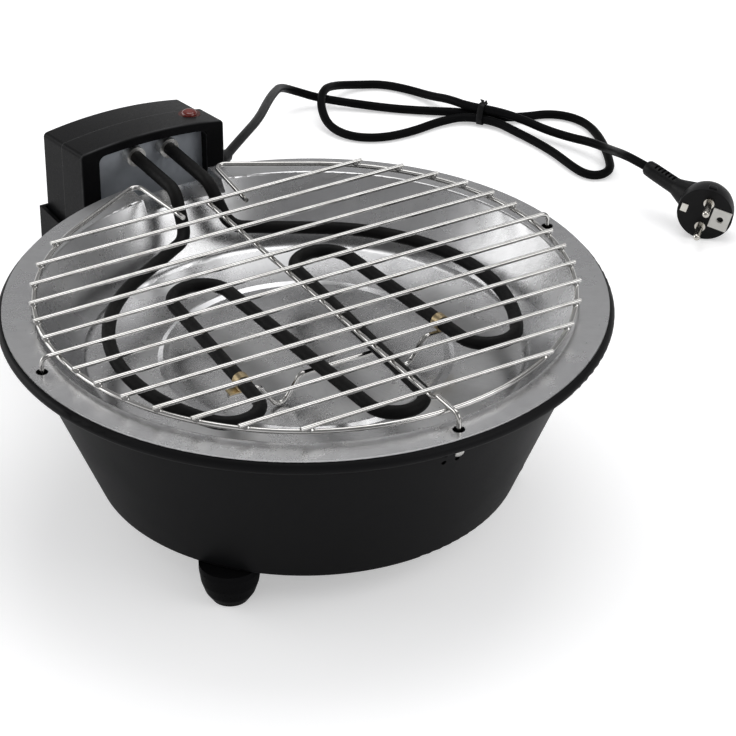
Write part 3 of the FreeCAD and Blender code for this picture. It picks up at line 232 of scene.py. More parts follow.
def splitAxes(tree, vector):
    split = tree.nodes.new("ShaderNodeSeparateXYZ")
    tree.links.new(vector, split.inputs["Vector"])
    return split.outputs


def aboutAxis(tree):  # direction round the bowl's axis
    offset = splitAxes(tree, objectPlace(tree, centre=tuple(bowlAxis)))
    level = tree.nodes.new("ShaderNodeCombineXYZ")
    tree.links.new(offset["X"], level.inputs["X"])
    tree.links.new(offset["Y"], level.inputs["Y"])
    way = tree.nodes.new("ShaderNodeVectorMath")
    way.operation = "NORMALIZE"
    tree.links.new(level.outputs["Vector"], way.inputs[0])
    return way.outputs["Vector"]


def cloud(tree, vector, scale, detail, roughness=0.55):
    noise = tree.nodes.new("ShaderNodeTexNoise")
    noise.inputs["Scale"].default_value = scale
    noise.inputs["Detail"].default_value = detail
    noise.inputs["Roughness"].default_value = roughness
    tree.links.new(vector, noise.inputs["Vector"])
    return noise.outputs["Fac"]


def between(tree, value, low, high, start=0.3, stop=0.7):
    spread = tree.nodes.new("ShaderNodeMapRange")
    spread.inputs["From Min"].default_value = start
    spread.inputs["From Max"].default_value = stop
    spread.inputs["To Min"].default_value = low
    spread.inputs["To Max"].default_value = high
    tree.links.new(value, spread.inputs["Value"])
    return spread.outputs["Result"]


def shades(tree, value, stops):
    ramp = tree.nodes.new("ShaderNodeValToRGB")
    while len(ramp.color_ramp.elements) < len(stops):
        ramp.color_ramp.elements.new(0.5)
    for element, (place, colour) in zip(ramp.color_ramp.elements, stops):
        element.position = place
        element.color = (*colour, 1)
    tree.links.new(value, ramp.inputs["Fac"])
    return ramp.outputs["Color"]


def blended(tree, share, first, second):  # colours mixed by a share
    mix = tree.nodes.new("ShaderNodeMix")
    mix.data_type = "RGBA"
    tree.links.new(share, mix.inputs["Factor"])
    tree.links.new(first, mix.inputs["A"])
    tree.links.new(second, mix.inputs["B"])
    return mix.outputs["Result"]


def counted(tree, kind, first, second):
    sums = tree.nodes.new("ShaderNodeMath")
    sums.operation = kind
    for socket, value in zip(sums.inputs, (first, second)):
        if isinstance(value, (int, float)):
            socket.default_value = value
        else:
            tree.links.new(value, socket)
    return sums.outputs["Value"]


def summed(tree, first, firstShare, second, secondShare):
    return counted(tree, "ADD", counted(tree, "MULTIPLY", first, firstShare),
                   counted(tree, "MULTIPLY", second, secondShare))


def painted(tree, shader, colour, roughness):
    tree.links.new(colour, shader.inputs["Base Color"])
    tree.links.new(roughness, shader.inputs["Roughness"])


def embossed(tree, shader, heights):  # one bump after the other, coarse first
    normal = None
    for height, strength, distance in heights:
        bump = tree.nodes.new("ShaderNodeBump")
        bump.inputs["Strength"].default_value = strength
        bump.inputs["Distance"].default_value = distance
        tree.links.new(height, bump.inputs["Height"])
        if normal:
            tree.links.new(normal, bump.inputs["Normal"])
        normal = bump.outputs["Normal"]
    tree.links.new(normal, shader.inputs["Normal"])


def coat(piece, finishName):
    piece.data.materials.clear()
    piece.data.materials.append(finishes[finishName])


# finishes: clouds are scale and detail, gloss is a span of roughness, relief is strength and depth
enamel = {
    "ior": 1.17,
    "broad": (14, 2),  # soft patches of the coat
    "peel": (620, 2),
    "dust": (1100, 1),
    "dustShare": 0.25,
    "tones": [(0.3, (0.0056, 0.0056, 0.0060)), (0.75, (0.0086, 0.0086, 0.0092))],
    "gloss": (0.38, 0.50, 0.4, 0.9),
    "broadRelief": (0.12, 0.0010),
    "peelRelief": (0.08, 0.00012),
}


def blackEnamel():
    finish, tree, shader = newFinish("blackEnamel", IOR=enamel["ior"])
    place = objectPlace(tree)
    broad = cloud(tree, place, *enamel["broad"])
    peel = cloud(tree, place, *enamel["peel"])
    dusty = summed(tree, broad, 1, cloud(tree, place, *enamel["dust"]), enamel["dustShare"])
    painted(tree, shader, shades(tree, broad, enamel["tones"]), between(tree, dusty, *enamel["gloss"]))
    embossed(tree, shader, [(broad, *enamel["broadRelief"]), (peel, *enamel["peelRelief"])])
    return finish


moulded = {
    "ior": 1.10,
    "flow": (22, 2),
    "spark": (700, 2),
    "tones": [(0.3, (0.0050, 0.0050, 0.0054)), (0.7, (0.0075, 0.0075, 0.0080))],
    "gloss": (0.26, 0.36),
    "flowRelief": (0.08, 0.0006),
    "sparkRelief": (0.07, 0.00008),
    "highlightPatches": (60, 3),  # patches of painted highlight along the seam and front edges
    "highlightShare": (0.45, 1.0, 0.3, 0.6),
    "highlightTones": [(0.0, (0.046, 0.046, 0.047)), (1.0, (0.060, 0.060, 0.061))],
    "seamInset": 0.0004,
    "seamReach": (0.0002, 0.0010),  # painted highlight full up to the first distance, none past the second
    "frontInset": 0.0011,
    "frontReach": (0.0003, 0.0009),
}


def blackPlastic(name, highlightEdges=()):
    finish, tree, shader = newFinish(name, IOR=moulded["ior"])
    place = objectPlace(tree)
    flow = cloud(tree, place, *moulded["flow"])
    spark = cloud(tree, place, *moulded["spark"])
    colour = shades(tree, flow, moulded["tones"])
    # painted highlight: the colour turns lighter in patches along each given edge
    if highlightEdges:
        depth = splitAxes(tree, place)["Y"]
        patchy = between(tree, cloud(tree, place, *moulded["highlightPatches"]), *moulded["highlightShare"])
        pale = shades(tree, flow, moulded["highlightTones"])
        for edge, reach in highlightEdges:
            away = counted(tree, "ABSOLUTE", counted(tree, "SUBTRACT", depth, edge), 0)
            paintedHighlight = counted(tree, "MULTIPLY", between(tree, away, 1.0, 0.0, *reach), patchy)
            colour = blended(tree, paintedHighlight, colour, pale)
    painted(tree, shader, colour, between(tree, spark, *moulded["gloss"]))
    embossed(tree, shader, [(flow, *moulded["flowRelief"]), (spark, *moulded["sparkRelief"])])
    return finish


def casePlastic():  # the box's front, with a painted highlight along its seam and front edges
    frameLow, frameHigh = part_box("front_frame")
    return blackPlastic("casePlastic", [(frameHigh.y - moulded["seamInset"], moulded["seamReach"]),
                                        (frameLow.y + moulded["frontInset"], moulded["frontReach"])])


platedPan = {
    "streaks": (30, 3, 0.6),  # drawing marks that run down the wall
    "stain": (19, 4),
    "mottle": (190, 3, 0.65),  # fine cloudy plating
    "dents": (24, 0),
    "mottleShare": 0.5,
    "streakShare": 0.5,
    "cleanTones": [(0.3, (0.59, 0.59, 0.595)), (0.7, (0.68, 0.68, 0.685))],
    "dullTones": [(0.35, (0.68, 0.68, 0.685)), (0.75, (0.54, 0.54, 0.535))],
    "dullShare": (0.0, 0.5, 0.45, 0.75),
    "mottleGloss": (0.0, 0.012),
    "stainGloss": (0.25, 0.285),
    "dentRelief": (0.14, 0.0010),
}


def panSteel():
    finish, tree, shader = newFinish("panSteel", Metallic=1.0)
    place = objectPlace(tree)
    streaks = cloud(tree, aboutAxis(tree), *platedPan["streaks"])
    stain = cloud(tree, place, *platedPan["stain"])
    mottle = cloud(tree, place, *platedPan["mottle"])
    dents = cloud(tree, place, *platedPan["dents"])
    plating = summed(tree, mottle, platedPan["mottleShare"], streaks, platedPan["streakShare"])
    clean = shades(tree, plating, platedPan["cleanTones"])
    dull = shades(tree, stain, platedPan["dullTones"])
    colour = blended(tree, between(tree, stain, *platedPan["dullShare"]), clean, dull)
    roughness = counted(tree, "ADD", between(tree, mottle, *platedPan["mottleGloss"]),
                        between(tree, stain, *platedPan["stainGloss"]))
    painted(tree, shader, colour, roughness)
    embossed(tree, shader, [(dents, *platedPan["dentRelief"])])
    return finish


rackWire = {
    "haze": (70, 3),
    "pits": (1400, 1),
    "tones": [(0.3, (0.66, 0.655, 0.64)), (0.75, (0.50, 0.49, 0.47))],
    "gloss": (0.08, 0.18),
    "pitRelief": (0.06, 0.0001),
}


def wireChrome():
    finish, tree, shader = newFinish("wireChrome", Metallic=1.0)
    place = objectPlace(tree)
    haze = cloud(tree, place, *rackWire["haze"])
    pits = cloud(tree, place, *rackWire["pits"])
    painted(tree, shader, shades(tree, haze, rackWire["tones"]), between(tree, haze, *rackWire["gloss"]))
    embossed(tree, shader, [(pits, *rackWire["pitRelief"])])
    return finish


heaterTube = {
    "ior": 1.22,
    "oxide": (38, 4),
    "crust": (900, 2),
    "tones": [(0.3, (0.0036, 0.0036, 0.0038)), (0.6, (0.0058, 0.0055, 0.0052)),
              (0.8, (0.0110, 0.0090, 0.0076))],
    "gloss": (0.42, 0.64),
    "crustRelief": (0.20, 0.00010),
}


def elementBlack():
    finish, tree, shader = newFinish("elementBlack", IOR=heaterTube["ior"])
    place = objectPlace(tree)
    oxide = cloud(tree, place, *heaterTube["oxide"])
    crust = cloud(tree, place, *heaterTube["crust"])
    colour = shades(tree, oxide, heaterTube["tones"])
    painted(tree, shader, colour, between(tree, crust, *heaterTube["gloss"]))
    embossed(tree, shader, [(crust, *heaterTube["crustRelief"])])
    return finish


shieldPlate = {
    "metal": 0.45,
    "grain": (30, 30, 1),  # how much finer the brushing is across than along
    "brushing": (40, 2),
    "broad": (34, 3),
    "tones": [(0.3, (0.32, 0.345, 0.38)), (0.7, (0.52, 0.55, 0.59))],
    "gloss": (0.32, 0.46),
    "broadRelief": (0.35, 0.0012),
    "brushRelief": (0.06, 0.0001),
}


def plateSteel():
    finish, tree, shader = newFinish("plateSteel", Metallic=shieldPlate["metal"])
    brushed = cloud(tree, objectPlace(tree, scale=shieldPlate["grain"]), *shieldPlate["brushing"])
    broad = cloud(tree, objectPlace(tree), *shieldPlate["broad"])
    colour = shades(tree, broad, shieldPlate["tones"])
    painted(tree, shader, colour, between(tree, brushed, *shieldPlate["gloss"]))
    embossed(tree, shader, [(broad, *shieldPlate["broadRelief"]), (brushed, *shieldPlate["brushRelief"])])
    return finish


signalLens = {
    "sockets": {"Transmission Weight": 0.25, "Coat Weight": 0.4, "Coat Roughness": 0.05, "IOR": 1.5},
    "speck": (900, 2),
    "speckReach": 0.0008,
    "glow": (0, 1, 0.0008, 0.0062),  # painted glow, lighter in the lens's middle and darker towards its edge
    "tones": [(0.0, (0.56, 0.085, 0.035)), (0.55, (0.38, 0.040, 0.020)), (1.0, (0.17, 0.016, 0.010))],
    "gloss": (0.10, 0.20),
    "speckRelief": (0.05, 0.0001),
}


def lensRed():
    lensLow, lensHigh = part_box("signal_lens")
    finish, tree, shader = newFinish("lensRed", **signalLens["sockets"])
    place = objectPlace(tree, centre=tuple((lensLow + lensHigh) / 2))
    fromMiddle = tree.nodes.new("ShaderNodeVectorMath")
    fromMiddle.operation = "LENGTH"
    tree.links.new(place, fromMiddle.inputs[0])
    speck = cloud(tree, place, *signalLens["speck"])
    away = summed(tree, fromMiddle.outputs["Value"], 1, speck, signalLens["speckReach"])
    colour = shades(tree, between(tree, away, *signalLens["glow"]), signalLens["tones"])
    painted(tree, shader, colour, between(tree, speck, *signalLens["gloss"]))
    embossed(tree, shader, [(speck, *signalLens["speckRelief"])])
    return finish


bareMetal = {
    "hazeDetail": 3,
    "scratch": (1600, 2),
    "stops": (0.35, 0.75),
    "spread": (-0.06, 0.10),
    "relief": (0.08, 0.0001),
}
bareMetals = {
    "screwSteel": {"light": (0.60, 0.60, 0.60), "dark": (0.38, 0.37, 0.36), "roughness": 0.30,
                   "patch": 220},
    "clipBrass": {"light": (0.62, 0.50, 0.30), "dark": (0.34, 0.26, 0.15), "roughness": 0.32,
                  "patch": 160},
    "pinNickel": {"light": (0.78, 0.755, 0.70), "dark": (0.60, 0.57, 0.51), "roughness": 0.20,
                  "patch": 130},
    "ferruleSteel": {"light": (0.80, 0.79, 0.76), "dark": (0.56, 0.55, 0.53), "roughness": 0.32,
                     "patch": 150},
}


def plainMetal(name, light, dark, roughness, patch):
    finish, tree, shader = newFinish(name, Metallic=1.0)
    place = objectPlace(tree)
    haze = cloud(tree, place, patch, bareMetal["hazeDetail"])
    scratch = cloud(tree, place, *bareMetal["scratch"])
    gloss = [roughness + step for step in bareMetal["spread"]]
    colour = shades(tree, haze, list(zip(bareMetal["stops"], (light, dark))))
    painted(tree, shader, colour, between(tree, scratch, *gloss))
    embossed(tree, shader, [(scratch, *bareMetal["relief"])])
    return finish


smallPlastic = {
    "flowDetail": 3,
    "fineDetail": 2,
    "stops": (0.3, 0.72),
    "spread": (-0.05, 0.07),
    "flowRelief": (0.06, 0.0003),
    "fineDepth": 0.0001,
}
smallPlastics = {
    "ringPlastic": {"light": (0.085, 0.016, 0.011), "dark": (0.055, 0.011, 0.008), "roughness": 0.28},
    "lampGlass": {"light": (0.72, 0.42, 0.28), "dark": (0.60, 0.30, 0.18), "roughness": 0.12},
    "palePlastic": {"light": (0.74, 0.73, 0.69), "dark": (0.64, 0.63, 0.59), "roughness": 0.42},
    "leadRubber": {"light": (0.0040, 0.0040, 0.0043), "dark": (0.0062, 0.0062, 0.0066), "roughness": 0.36,
                   "patch": 45, "grain": 800, "IOR": 1.09},
    "plugPlastic": {"light": (0.0042, 0.0042, 0.0045), "dark": (0.0065, 0.0065, 0.0069), "roughness": 0.42,
                    "patch": 70, "grain": 800, "relief": 0.10, "IOR": 1.26},
    "tieWire": {"light": (0.0045, 0.0045, 0.0048), "dark": (0.0070, 0.0070, 0.0074), "roughness": 0.36,
                "patch": 90, "grain": 800, "relief": 0.06, "IOR": 1.26},
}


def smoothPlastic(name, light, dark, roughness, patch=60, grain=1300, relief=0.08, **sockets):
    finish, tree, shader = newFinish(name, **sockets)
    place = objectPlace(tree)
    flow = cloud(tree, place, patch, smallPlastic["flowDetail"])
    fine = cloud(tree, place, grain, smallPlastic["fineDetail"])
    gloss = [roughness + step for step in smallPlastic["spread"]]
    colour = shades(tree, flow, list(zip(smallPlastic["stops"], (light, dark))))
    painted(tree, shader, colour, between(tree, fine, *gloss))
    embossed(tree, shader, [(flow, *smallPlastic["flowRelief"]), (fine, relief, smallPlastic["fineDepth"])])
    return finish


finishes = {
    "blackEnamel": blackEnamel(),
    "blackPlastic": blackPlastic("blackPlastic"),
    "casePlastic": casePlastic(),
    "panSteel": panSteel(),
    "wireChrome": wireChrome(),
    "elementBlack": elementBlack(),
    "plateSteel": plateSteel(),
    "lensRed": lensRed(),
}
finishes.update({name: plainMetal(name, **look) for name, look in bareMetals.items()})
finishes.update({name: smoothPlastic(name, **look) for name, look in smallPlastics.items()})
nodeFinishes = {
    "blackEnamel": ["outer_bowl"],
    "blackPlastic": ["foot_left", "foot_right", "foot_rear", "box_socket", "rear_shell", "micro_switch",
                     "cord_clamp", "cord_gland"],
    "casePlastic": ["front_frame"],
    "screwSteel": ["foot_screws", "socket_screws", "case_screws", "thermal_cutout"],
    "ferruleSteel": ["element_ferrules"],
    "panSteel": ["drip_pan"],
    "wireChrome": ["rack_ring", "rack_brace", "hook_bar", "element_support"],
    "elementBlack": ["heating_element"],
    "plateSteel": ["heat_shield"],
    "clipBrass": ["support_clips", "lead_wires"],
    "lensRed": ["signal_lens"],
    "lampGlass": ["neon_lamp"],
    "ringPlastic": ["lens_ring"],
    "palePlastic": ["plug_core", "terminal_block", "safety_plunger"],
    "leadRubber": ["lead_cord", "cord_hank", "cord_tie"],
    "plugPlastic": ["plug_body"],
    "pinNickel": ["plug_pins", "pin_collars", "earth_clips"],
}
rackBars = sorted(name for name in nodes if name.startswith("rack_bar"))
nodeFinishes["wireChrome"] += rackBars
dressed = set()
for finishName, members in nodeFinishes.items():
    for member in members:
        coat(nodes[member], finishName)
        dressed.add(member)
print("finishes on nodes, left over:", sorted(set(nodes) - dressed))

# mains lead: one route, cut where the moving pieces hand it over
lead = {
    "radius": 0.0032,
    "ringSteps": 4,  # roundness of the tube
    "lineSteps": 10,  # points of the smooth line from one control point to the next
    "route": [  # millimetres, from the relief's tip to the plug's neck
        (82, 214, 91.5), (93, 226, 89), (117, 252, 83), (146, 287, 72), (181, 338, 56),
        (207, 376, 41), (229, 408, 26), (246, 417, 15), (265, 410, 6.5),
        (301, 378, 3.4), (323, 359, 3.5), (349.6, 336.7, 4.9), (364, 317.5, 4.9),
        (383, 311, 3.7), (401, 307, 3.4), (412, 295, 3.4), (416, 279, 3.4), (413, 261, 3.4),
        (406, 241, 3.4), (398, 224, 3.4), (390.5, 210.5, 3.4), (382, 205, 3.4), (373.5, 206, 3.4),
        (368.5, 214, 3.4), (368, 229, 3.4), (369, 251, 3.4), (367, 274, 3.4), (362.5, 296, 4),
        (358.4, 313.3, 4.9), (344, 332.5, 4.9), (324, 337, 3.6), (297, 333, 3.4), (272, 336, 3.4),
        (254, 350, 3.4), (248, 371, 5), (253, 391, 12.5), (265, 407, 16), (282, 419, 10),
        (303, 423, 3.6), (321, 414, 3.4), (333, 396, 3.4), (339, 374, 5.5), (342, 353, 11),
        (346.8, 334.6, 11.8), (361.2, 315.4, 11.8), (371, 297, 10.5), (379, 278, 8), (387, 259, 8),
        (393, 240, 10.6), (394, 221, 13.5), (388, 203, 20.5), (380, 184, 29), (375.5, 166, 34.6),
    ],
    "millimetre": 0.001,
    "handOvers": [(0.146, 0.287, 0.072), (0.283, 0.394, 0.00495)],
}
plug = {
    "face": (0.387, 0.094, 0.0196),
    "heading": 226,
    "roll": 16,
    "lean": 28,
    "radius": 0.0192,
    "headSides": 72,
    "rim": 0.009,
    "headSteps": [(0.0035, 0.975), (0.0035, 0.95), (0.003, 0.92), (0.002, 0.88),
                  (0.0010, 0.84)],  # depth of each step, and its share of the width before
    "edge": (0.0008, 3, 50),
    "faceInset": 0.0011,
    "dish": 0.0003,  # the face lies a little below its rim
    "depth": 0.022,
    "neckSides": 48,
    "neckLength": 0.054,
    "shoulder": (0.0135, 0.013, -0.0125),  # round that the neck grows out of: radius, depth, middle
    "shoulderTip": 0.002,
    "neckRoot": 0.004,
    "neckSteps": [(0.024, 0.0074), (0.027, 0.0064), (0.0285, 0.0060), (0.0485, 0.0058), (0.0528, 0.0055),
                  (0.0540, 0.0047)],  # distance along the neck, radius there
    "slot": (0.0016, 0.0072, 0.0030),  # along, across and deep
    "slotEdge": (0.0003, 2),
    "slots": [0.0305 + 0.0031 * step for step in range(6)],
    "slotFloor": 0.0036,
    "tab": (0.006, 0.0016, 0.0044),  # small rib on top of the head
    "tabEdge": (0.0006, 3),
    "tabShift": 0.001,
    "tabDepthShare": 0.55,
    "pocket": (0.0132, 0.0152, 0.0062),  # room for the pale insert
    "pocketMiddle": (-0.011, 0, 0.001),
}
plugTurn, plugRoll, neckLean = (math.radians(plug[name]) for name in ("heading", "roll", "lean"))
plugWay = Vector((math.cos(plugTurn), math.sin(plugTurn), 0))
plugSide = Vector((plugWay.y, -plugWay.x, 0)) * math.cos(plugRoll) + Vector((0, 0, math.sin(plugRoll)))
plugMatrix = Matrix((plugSide, plugWay.cross(plugSide), plugWay)).transposed().to_4x4()
plugMatrix.translation = Vector(plug["face"])
neckWay = Vector((math.cos(neckLean), 0, -math.sin(neckLean)))
neckStart = Vector((0, 0, -plug["depth"] / 2))
neckEnd = plugMatrix @ (neckStart + neckWay * plug["neckLength"])
print("plug neck ends at", [round(value, 4) for value in neckEnd])


def routeLine(points):  # the smooth line of a NURBS with these control points
    curve = bpy.data.curves.new("routeLine", "CURVE")
    curve.dimensions = "3D"
    curve.resolution_u = lead["lineSteps"]
    spline = curve.splines.new("NURBS")
    spline.points.add(len(points) - 1)
    for point, place in zip(spline.points, points):
        point.co = (*place, 1)
    spline.order_u = 3
    spline.use_endpoint_u = True
    holder = bpy.data.objects.new("routeLine", curve)
    scene.collection.objects.link(holder)
    bpy.context.view_layer.update()
    line = bpy.data.meshes.new_from_object(holder.evaluated_get(bpy.context.evaluated_depsgraph_get()))
    places = [vert.co.copy() for vert in line.vertices]
    bpy.data.objects.remove(holder)
    bpy.data.meshes.remove(line)
    return places


def leadTube(name, places):
    curve = bpy.data.curves.new(name, "CURVE")
    curve.dimensions = "3D"
    curve.bevel_depth = lead["radius"]
    curve.bevel_resolution = lead["ringSteps"]
    curve.use_fill_caps = True
    spline = curve.splines.new("POLY")
    spline.points.add(len(places) - 1)
    for point, place in zip(spline.points, places):
        point.co = (*place, 1)
    tube = bpy.data.objects.new(name, curve)
    scene.collection.objects.link(tube)
    pickAlone(tube)
    bpy.ops.object.convert(target="MESH")
    bpy.ops.object.shade_smooth()
    coat(tube, "leadRubber")
    return tube


def nearestPoint(line, spot):
    return min(range(len(line)), key=lambda index: (line[index] - Vector(spot)).length)


leadLine = routeLine([Vector(point) * lead["millimetre"] for point in lead["route"]] + [neckEnd])
boxCut, fallCut = (nearestPoint(leadLine, spot) for spot in lead["handOvers"])
leadRuns = [leadLine[:boxCut + 1], leadLine[boxCut:fallCut + 1], leadLine[fallCut:]]
boxLead = leadTube("boxLead", leadRuns[0])
fallLead = leadTube("fallLead", leadRuns[1])
foldedLead = leadTube("foldedLead", leadRuns[2])
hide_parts("lead_cord")
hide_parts("lead_cord")
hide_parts("cord_hank")
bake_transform(boxLead)
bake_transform(fallLead)
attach(foldedLead, "base")

# angled plug: moulded head, and a slotted neck that leaves it through a shoulder
neckPlace = Matrix.Translation(neckStart) @ facingAlong(neckWay)
neckFirst, neckRadius = plug["neckSteps"][0]


def plugHead():
    head = roundStart(plug["headSides"], plug["radius"], plug["rim"], -plug["rim"] / 2, "plugShell")
    editAll()
    pickFaces(head, lambda normal: normal.z < -squareOn)
    for step, width in plug["headSteps"]:
        extrudeStep(-step, width)
    pickFaces(head, lambda normal: normal.z > squareOn)
    bpy.ops.mesh.inset(thickness=plug["faceInset"])
    bpy.ops.transform.translate(value=(0, 0, -plug["dish"]))
    endEdit()
    roundEdges(head, *plug["edge"])
    return head


def plugShoulder():
    radius, depth, middle = plug["shoulder"]
    root = roundStart(plug["neckSides"], radius, depth, middle)
    tip = roundStart(plug["neckSides"], neckRadius, plug["shoulderTip"])
    tip.matrix_world = neckPlace @ Matrix.Translation((0, 0, neckFirst - plug["shoulderTip"] / 2))
    settle(tip)
    shoulder = joinPieces([root, tip], "plugShoulder")
    wrapTight()
    return settle(shoulder)


def neckSlots():  # cutters in two rows, one on each side of the neck
    long, wide, deep = plug["slot"]
    slot = blockStart((deep, wide, long), *plug["slotEdge"])
    cutters = []
    for along in plug["slots"]:
        for side in (-1, 1):
            cutter = copyOf(slot)
            cutter.location = (side * (plug["slotFloor"] + deep / 2), 0, along)
            cutters.append(cutter)
    bpy.data.objects.remove(slot)
    return settle(joinPieces(cutters, "neckSlots"))


def plugNeck():
    neck = roundStart(plug["neckSides"], neckRadius, plug["neckRoot"], neckFirst - plug["neckRoot"] / 2)
    editAll()
    pickFaces(neck, lambda normal: normal.z > squareOn)
    for (before, wide), (after, narrow) in zip(plug["neckSteps"], plug["neckSteps"][1:]):
        extrudeStep(after - before, narrow / wide)
    endEdit()
    cutOrAdd(neck, neckSlots(), "DIFFERENCE")
    neck.matrix_world = neckPlace
    return settle(neck)


def plugTab():
    tab = blockStart(plug["tab"], *plug["tabEdge"])
    place = (plug["tabShift"], -plug["radius"], -plug["rim"] * plug["tabDepthShare"])
    editAll()
    bpy.ops.transform.translate(value=place)
    endEdit()
    return tab


def corePocket():
    startFresh()
    bpy.ops.mesh.primitive_cube_add(size=1, location=plug["pocketMiddle"])
    pocket = bpy.context.object
    pocket.scale = plug["pocket"]
    return settle(pocket)


plugShell = plugHead()
for added in (plugShoulder(), plugNeck(), plugTab()):
    cutOrAdd(plugShell, added, "UNION")
cutOrAdd(plugShell, corePocket(), "DIFFERENCE")
plugShell.matrix_world = plugMatrix
settle(plugShell)
coat(plugShell, "plugPlastic")
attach(plugShell, "base")
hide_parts("plug_body")
print("plug shell", len(plugShell.data.polygons), "faces")

# twist tie round the three strands of the folded lead
tie = {
    "middle": (0.354, 0.325),
    "heading": -53.13,
    "strands": [(-0.0035, 0.0049), (0.0035, 0.0049), (0.0, 0.0118)],  # across and height of each strand
    "sides": 36,
    "bore": 0.00350,
    "width": 0.0046,
    "thickness": 0.0009,
    "endFacing": 0.7,
    "edge": (0.00025, 2, 50),
    "tails": [(-0.30, 4), (0.40, 3)],  # lean along the lead, and steps of length
    "tailSize": (0.0034, 0.0009),
    "tailStep": 0.0013,
    "tailTwist": 40,
    "tailEdge": (0.0002, 2, 60),
    "tailOut": 0.75,
    "tailRise": 0.10,
    "tailRoot": 0.0152,
}
tieTurn = math.radians(tie["heading"])
tieAlong = Vector((math.cos(tieTurn), math.sin(tieTurn), 0))
tieAcross = Vector((-tieAlong.y, tieAlong.x, 0))


def tieBand():
    rounds = []
    for across, height in tie["strands"]:
        place = Vector(tie["middle"]) + across * tieAcross.xy
        startFresh()
        bpy.ops.mesh.primitive_cylinder_add(vertices=tie["sides"], radius=tie["bore"], depth=tie["width"],
                                            rotation=(0, math.pi / 2, tieTurn), location=(*place, height))
        rounds.append(started())
    band = joinPieces(rounds, "tieBand")
    wrapTight()
    editAll()
    pickFaces(band, lambda normal: abs(normal.dot(tieAlong)) > tie["endFacing"])
    bpy.ops.mesh.delete(type="FACE")
    endEdit()
    settle(band)
    applyModifier(band, "SOLIDIFY", thickness=tie["thickness"], offset=1.0)
    roundEdges(band, *tie["edge"])
    return band


def tieTail(lean, steps):
    startFresh()
    bpy.ops.mesh.primitive_cube_add(size=1)
    tail = started()
    editAll()
    bpy.ops.transform.resize(value=(*tie["tailSize"], tie["tailStep"]))
    pickFaces(tail, lambda normal: normal.z > squareOn)
    for step in range(steps):
        bpy.ops.mesh.extrude_region_move(TRANSFORM_OT_translate={"value": (0, 0, tie["tailStep"])})
        bpy.ops.transform.rotate(value=math.radians(tie["tailTwist"]), orient_axis="Z",
                                 center_override=(0, 0, 0))
    endEdit()
    way = (tieAcross * tie["tailOut"] + tieAlong * lean + Vector((0, 0, tie["tailRise"]))).normalized()
    tail.matrix_world = Matrix.Translation((*tie["middle"], tie["tailRoot"])) @ facingAlong(way)
    roundEdges(tail, *tie["tailEdge"])
    return settle(tail)


cordTie = settle(joinPieces([tieBand()] + [tieTail(*tail) for tail in tie["tails"]], "cordTie"))
coat(cordTie, "tieWire")
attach(cordTie, "base")
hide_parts("cord_tie")
print("cord tie", len(cordTie.data.polygons), "faces")

# bright rivet in one of the small front holes
rivet = {
    "across": 0.00425,
    "height": 0.1138,
    "beside": 0.0028,  # the bowl is felt on both sides of the hole
    "feelFrom": -0.5,
    "sides": 32,
    "shank": 0.00142,
    "shankDepth": 0.0020,
    "head": 0.0029,
    "dome": 0.0013,
    "domeSteps": [(0.45, 0.97), (0.30, 0.84), (0.17, 0.70), (0.08, 0.55), (-0.18, 0.80), (-0.10, 0.60)],
    "smooth": 25,
}


def rivetSeat():  # middle and facing of the bowl's wall at the hole
    felt = []
    for shift in (-rivet["beside"], rivet["beside"]):
        start = Vector((rivet["across"] + shift, rivet["feelFrom"], rivet["height"]))
        felt.append(nodes["outer_bowl"].ray_cast(start, Vector((0, 1, 0)))[1:3])
    (leftSpot, leftFacing), (rightSpot, rightFacing) = felt
    return (leftSpot + rightSpot) / 2, (leftFacing + rightFacing).normalized()


rivetSpot, rivetWay = rivetSeat()
shankMiddle = -rivet["shankDepth"] / 2
bowlRivet = roundStart(rivet["sides"], rivet["shank"], rivet["shankDepth"], shankMiddle, "bowlRivet")
editAll()
pickFaces(bowlRivet, lambda normal: normal.z > squareOn)
extrudeStep(0.0, rivet["head"] / rivet["shank"])
for step, width in rivet["domeSteps"]:
    extrudeStep(step * rivet["dome"], width)
endEdit()
bowlRivet.matrix_world = Matrix.Translation(rivetSpot) @ facingAlong(rivetWay)
settle(bowlRivet, rivet["smooth"])
coat(bowlRivet, "ferruleSteel")
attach(bowlRivet, "base")
print("bowl rivet at", [round(value, 4) for value in rivetSpot])

# rack: a weld nugget wherever a bar crosses the ring
weld = {
    "size": (0.0030, 0.0021, 0.0017),  # half lengths
    "topShare": (0.85, 0.8, 0.9),
    "ringWire": 0.0015,
}


def weldNugget():
    startFresh()
    bpy.ops.mesh.primitive_ico_sphere_add(subdivisions=2, radius=1)
    nugget = started()
    editAll()
    bpy.ops.transform.resize(value=weld["size"])
    pickVerts(nugget, lambda place: place.z > 0)
    bpy.ops.transform.resize(value=weld["topShare"])
    endEdit()
    return nugget


nugget = weldNugget()
ringLow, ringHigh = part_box("rack_ring")
ringMiddle = (ringLow.z + ringHigh.z) / 2
ringReach = (ringHigh.x - ringLow.x) / 2 - weld["ringWire"]
welds = []
for name in rackBars:
    low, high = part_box(name)
    barPlace = (low.y + high.y) / 2
    offAxis = barPlace - bowlAxis.y
    half = math.sqrt(max(ringReach ** 2 - offAxis ** 2, 0))
    level = (ringMiddle + (low.z + high.z) / 2) / 2
    for side in (-1, 1):
        turn = math.atan2(offAxis, side * half) + math.pi / 2
        copy = copyOf(nugget)
        crossing = Matrix.Translation((side * half, barPlace, level))
        copy.matrix_world = crossing @ Matrix.Rotation(turn, 4, "Z")
        welds.append(copy)
bpy.data.objects.remove(nugget)
rackWelds = settle(joinPieces(welds, "rackWelds"))
coat(rackWelds, "wireChrome")
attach(rackWelds, "rack")
print("rack welds", len(welds))

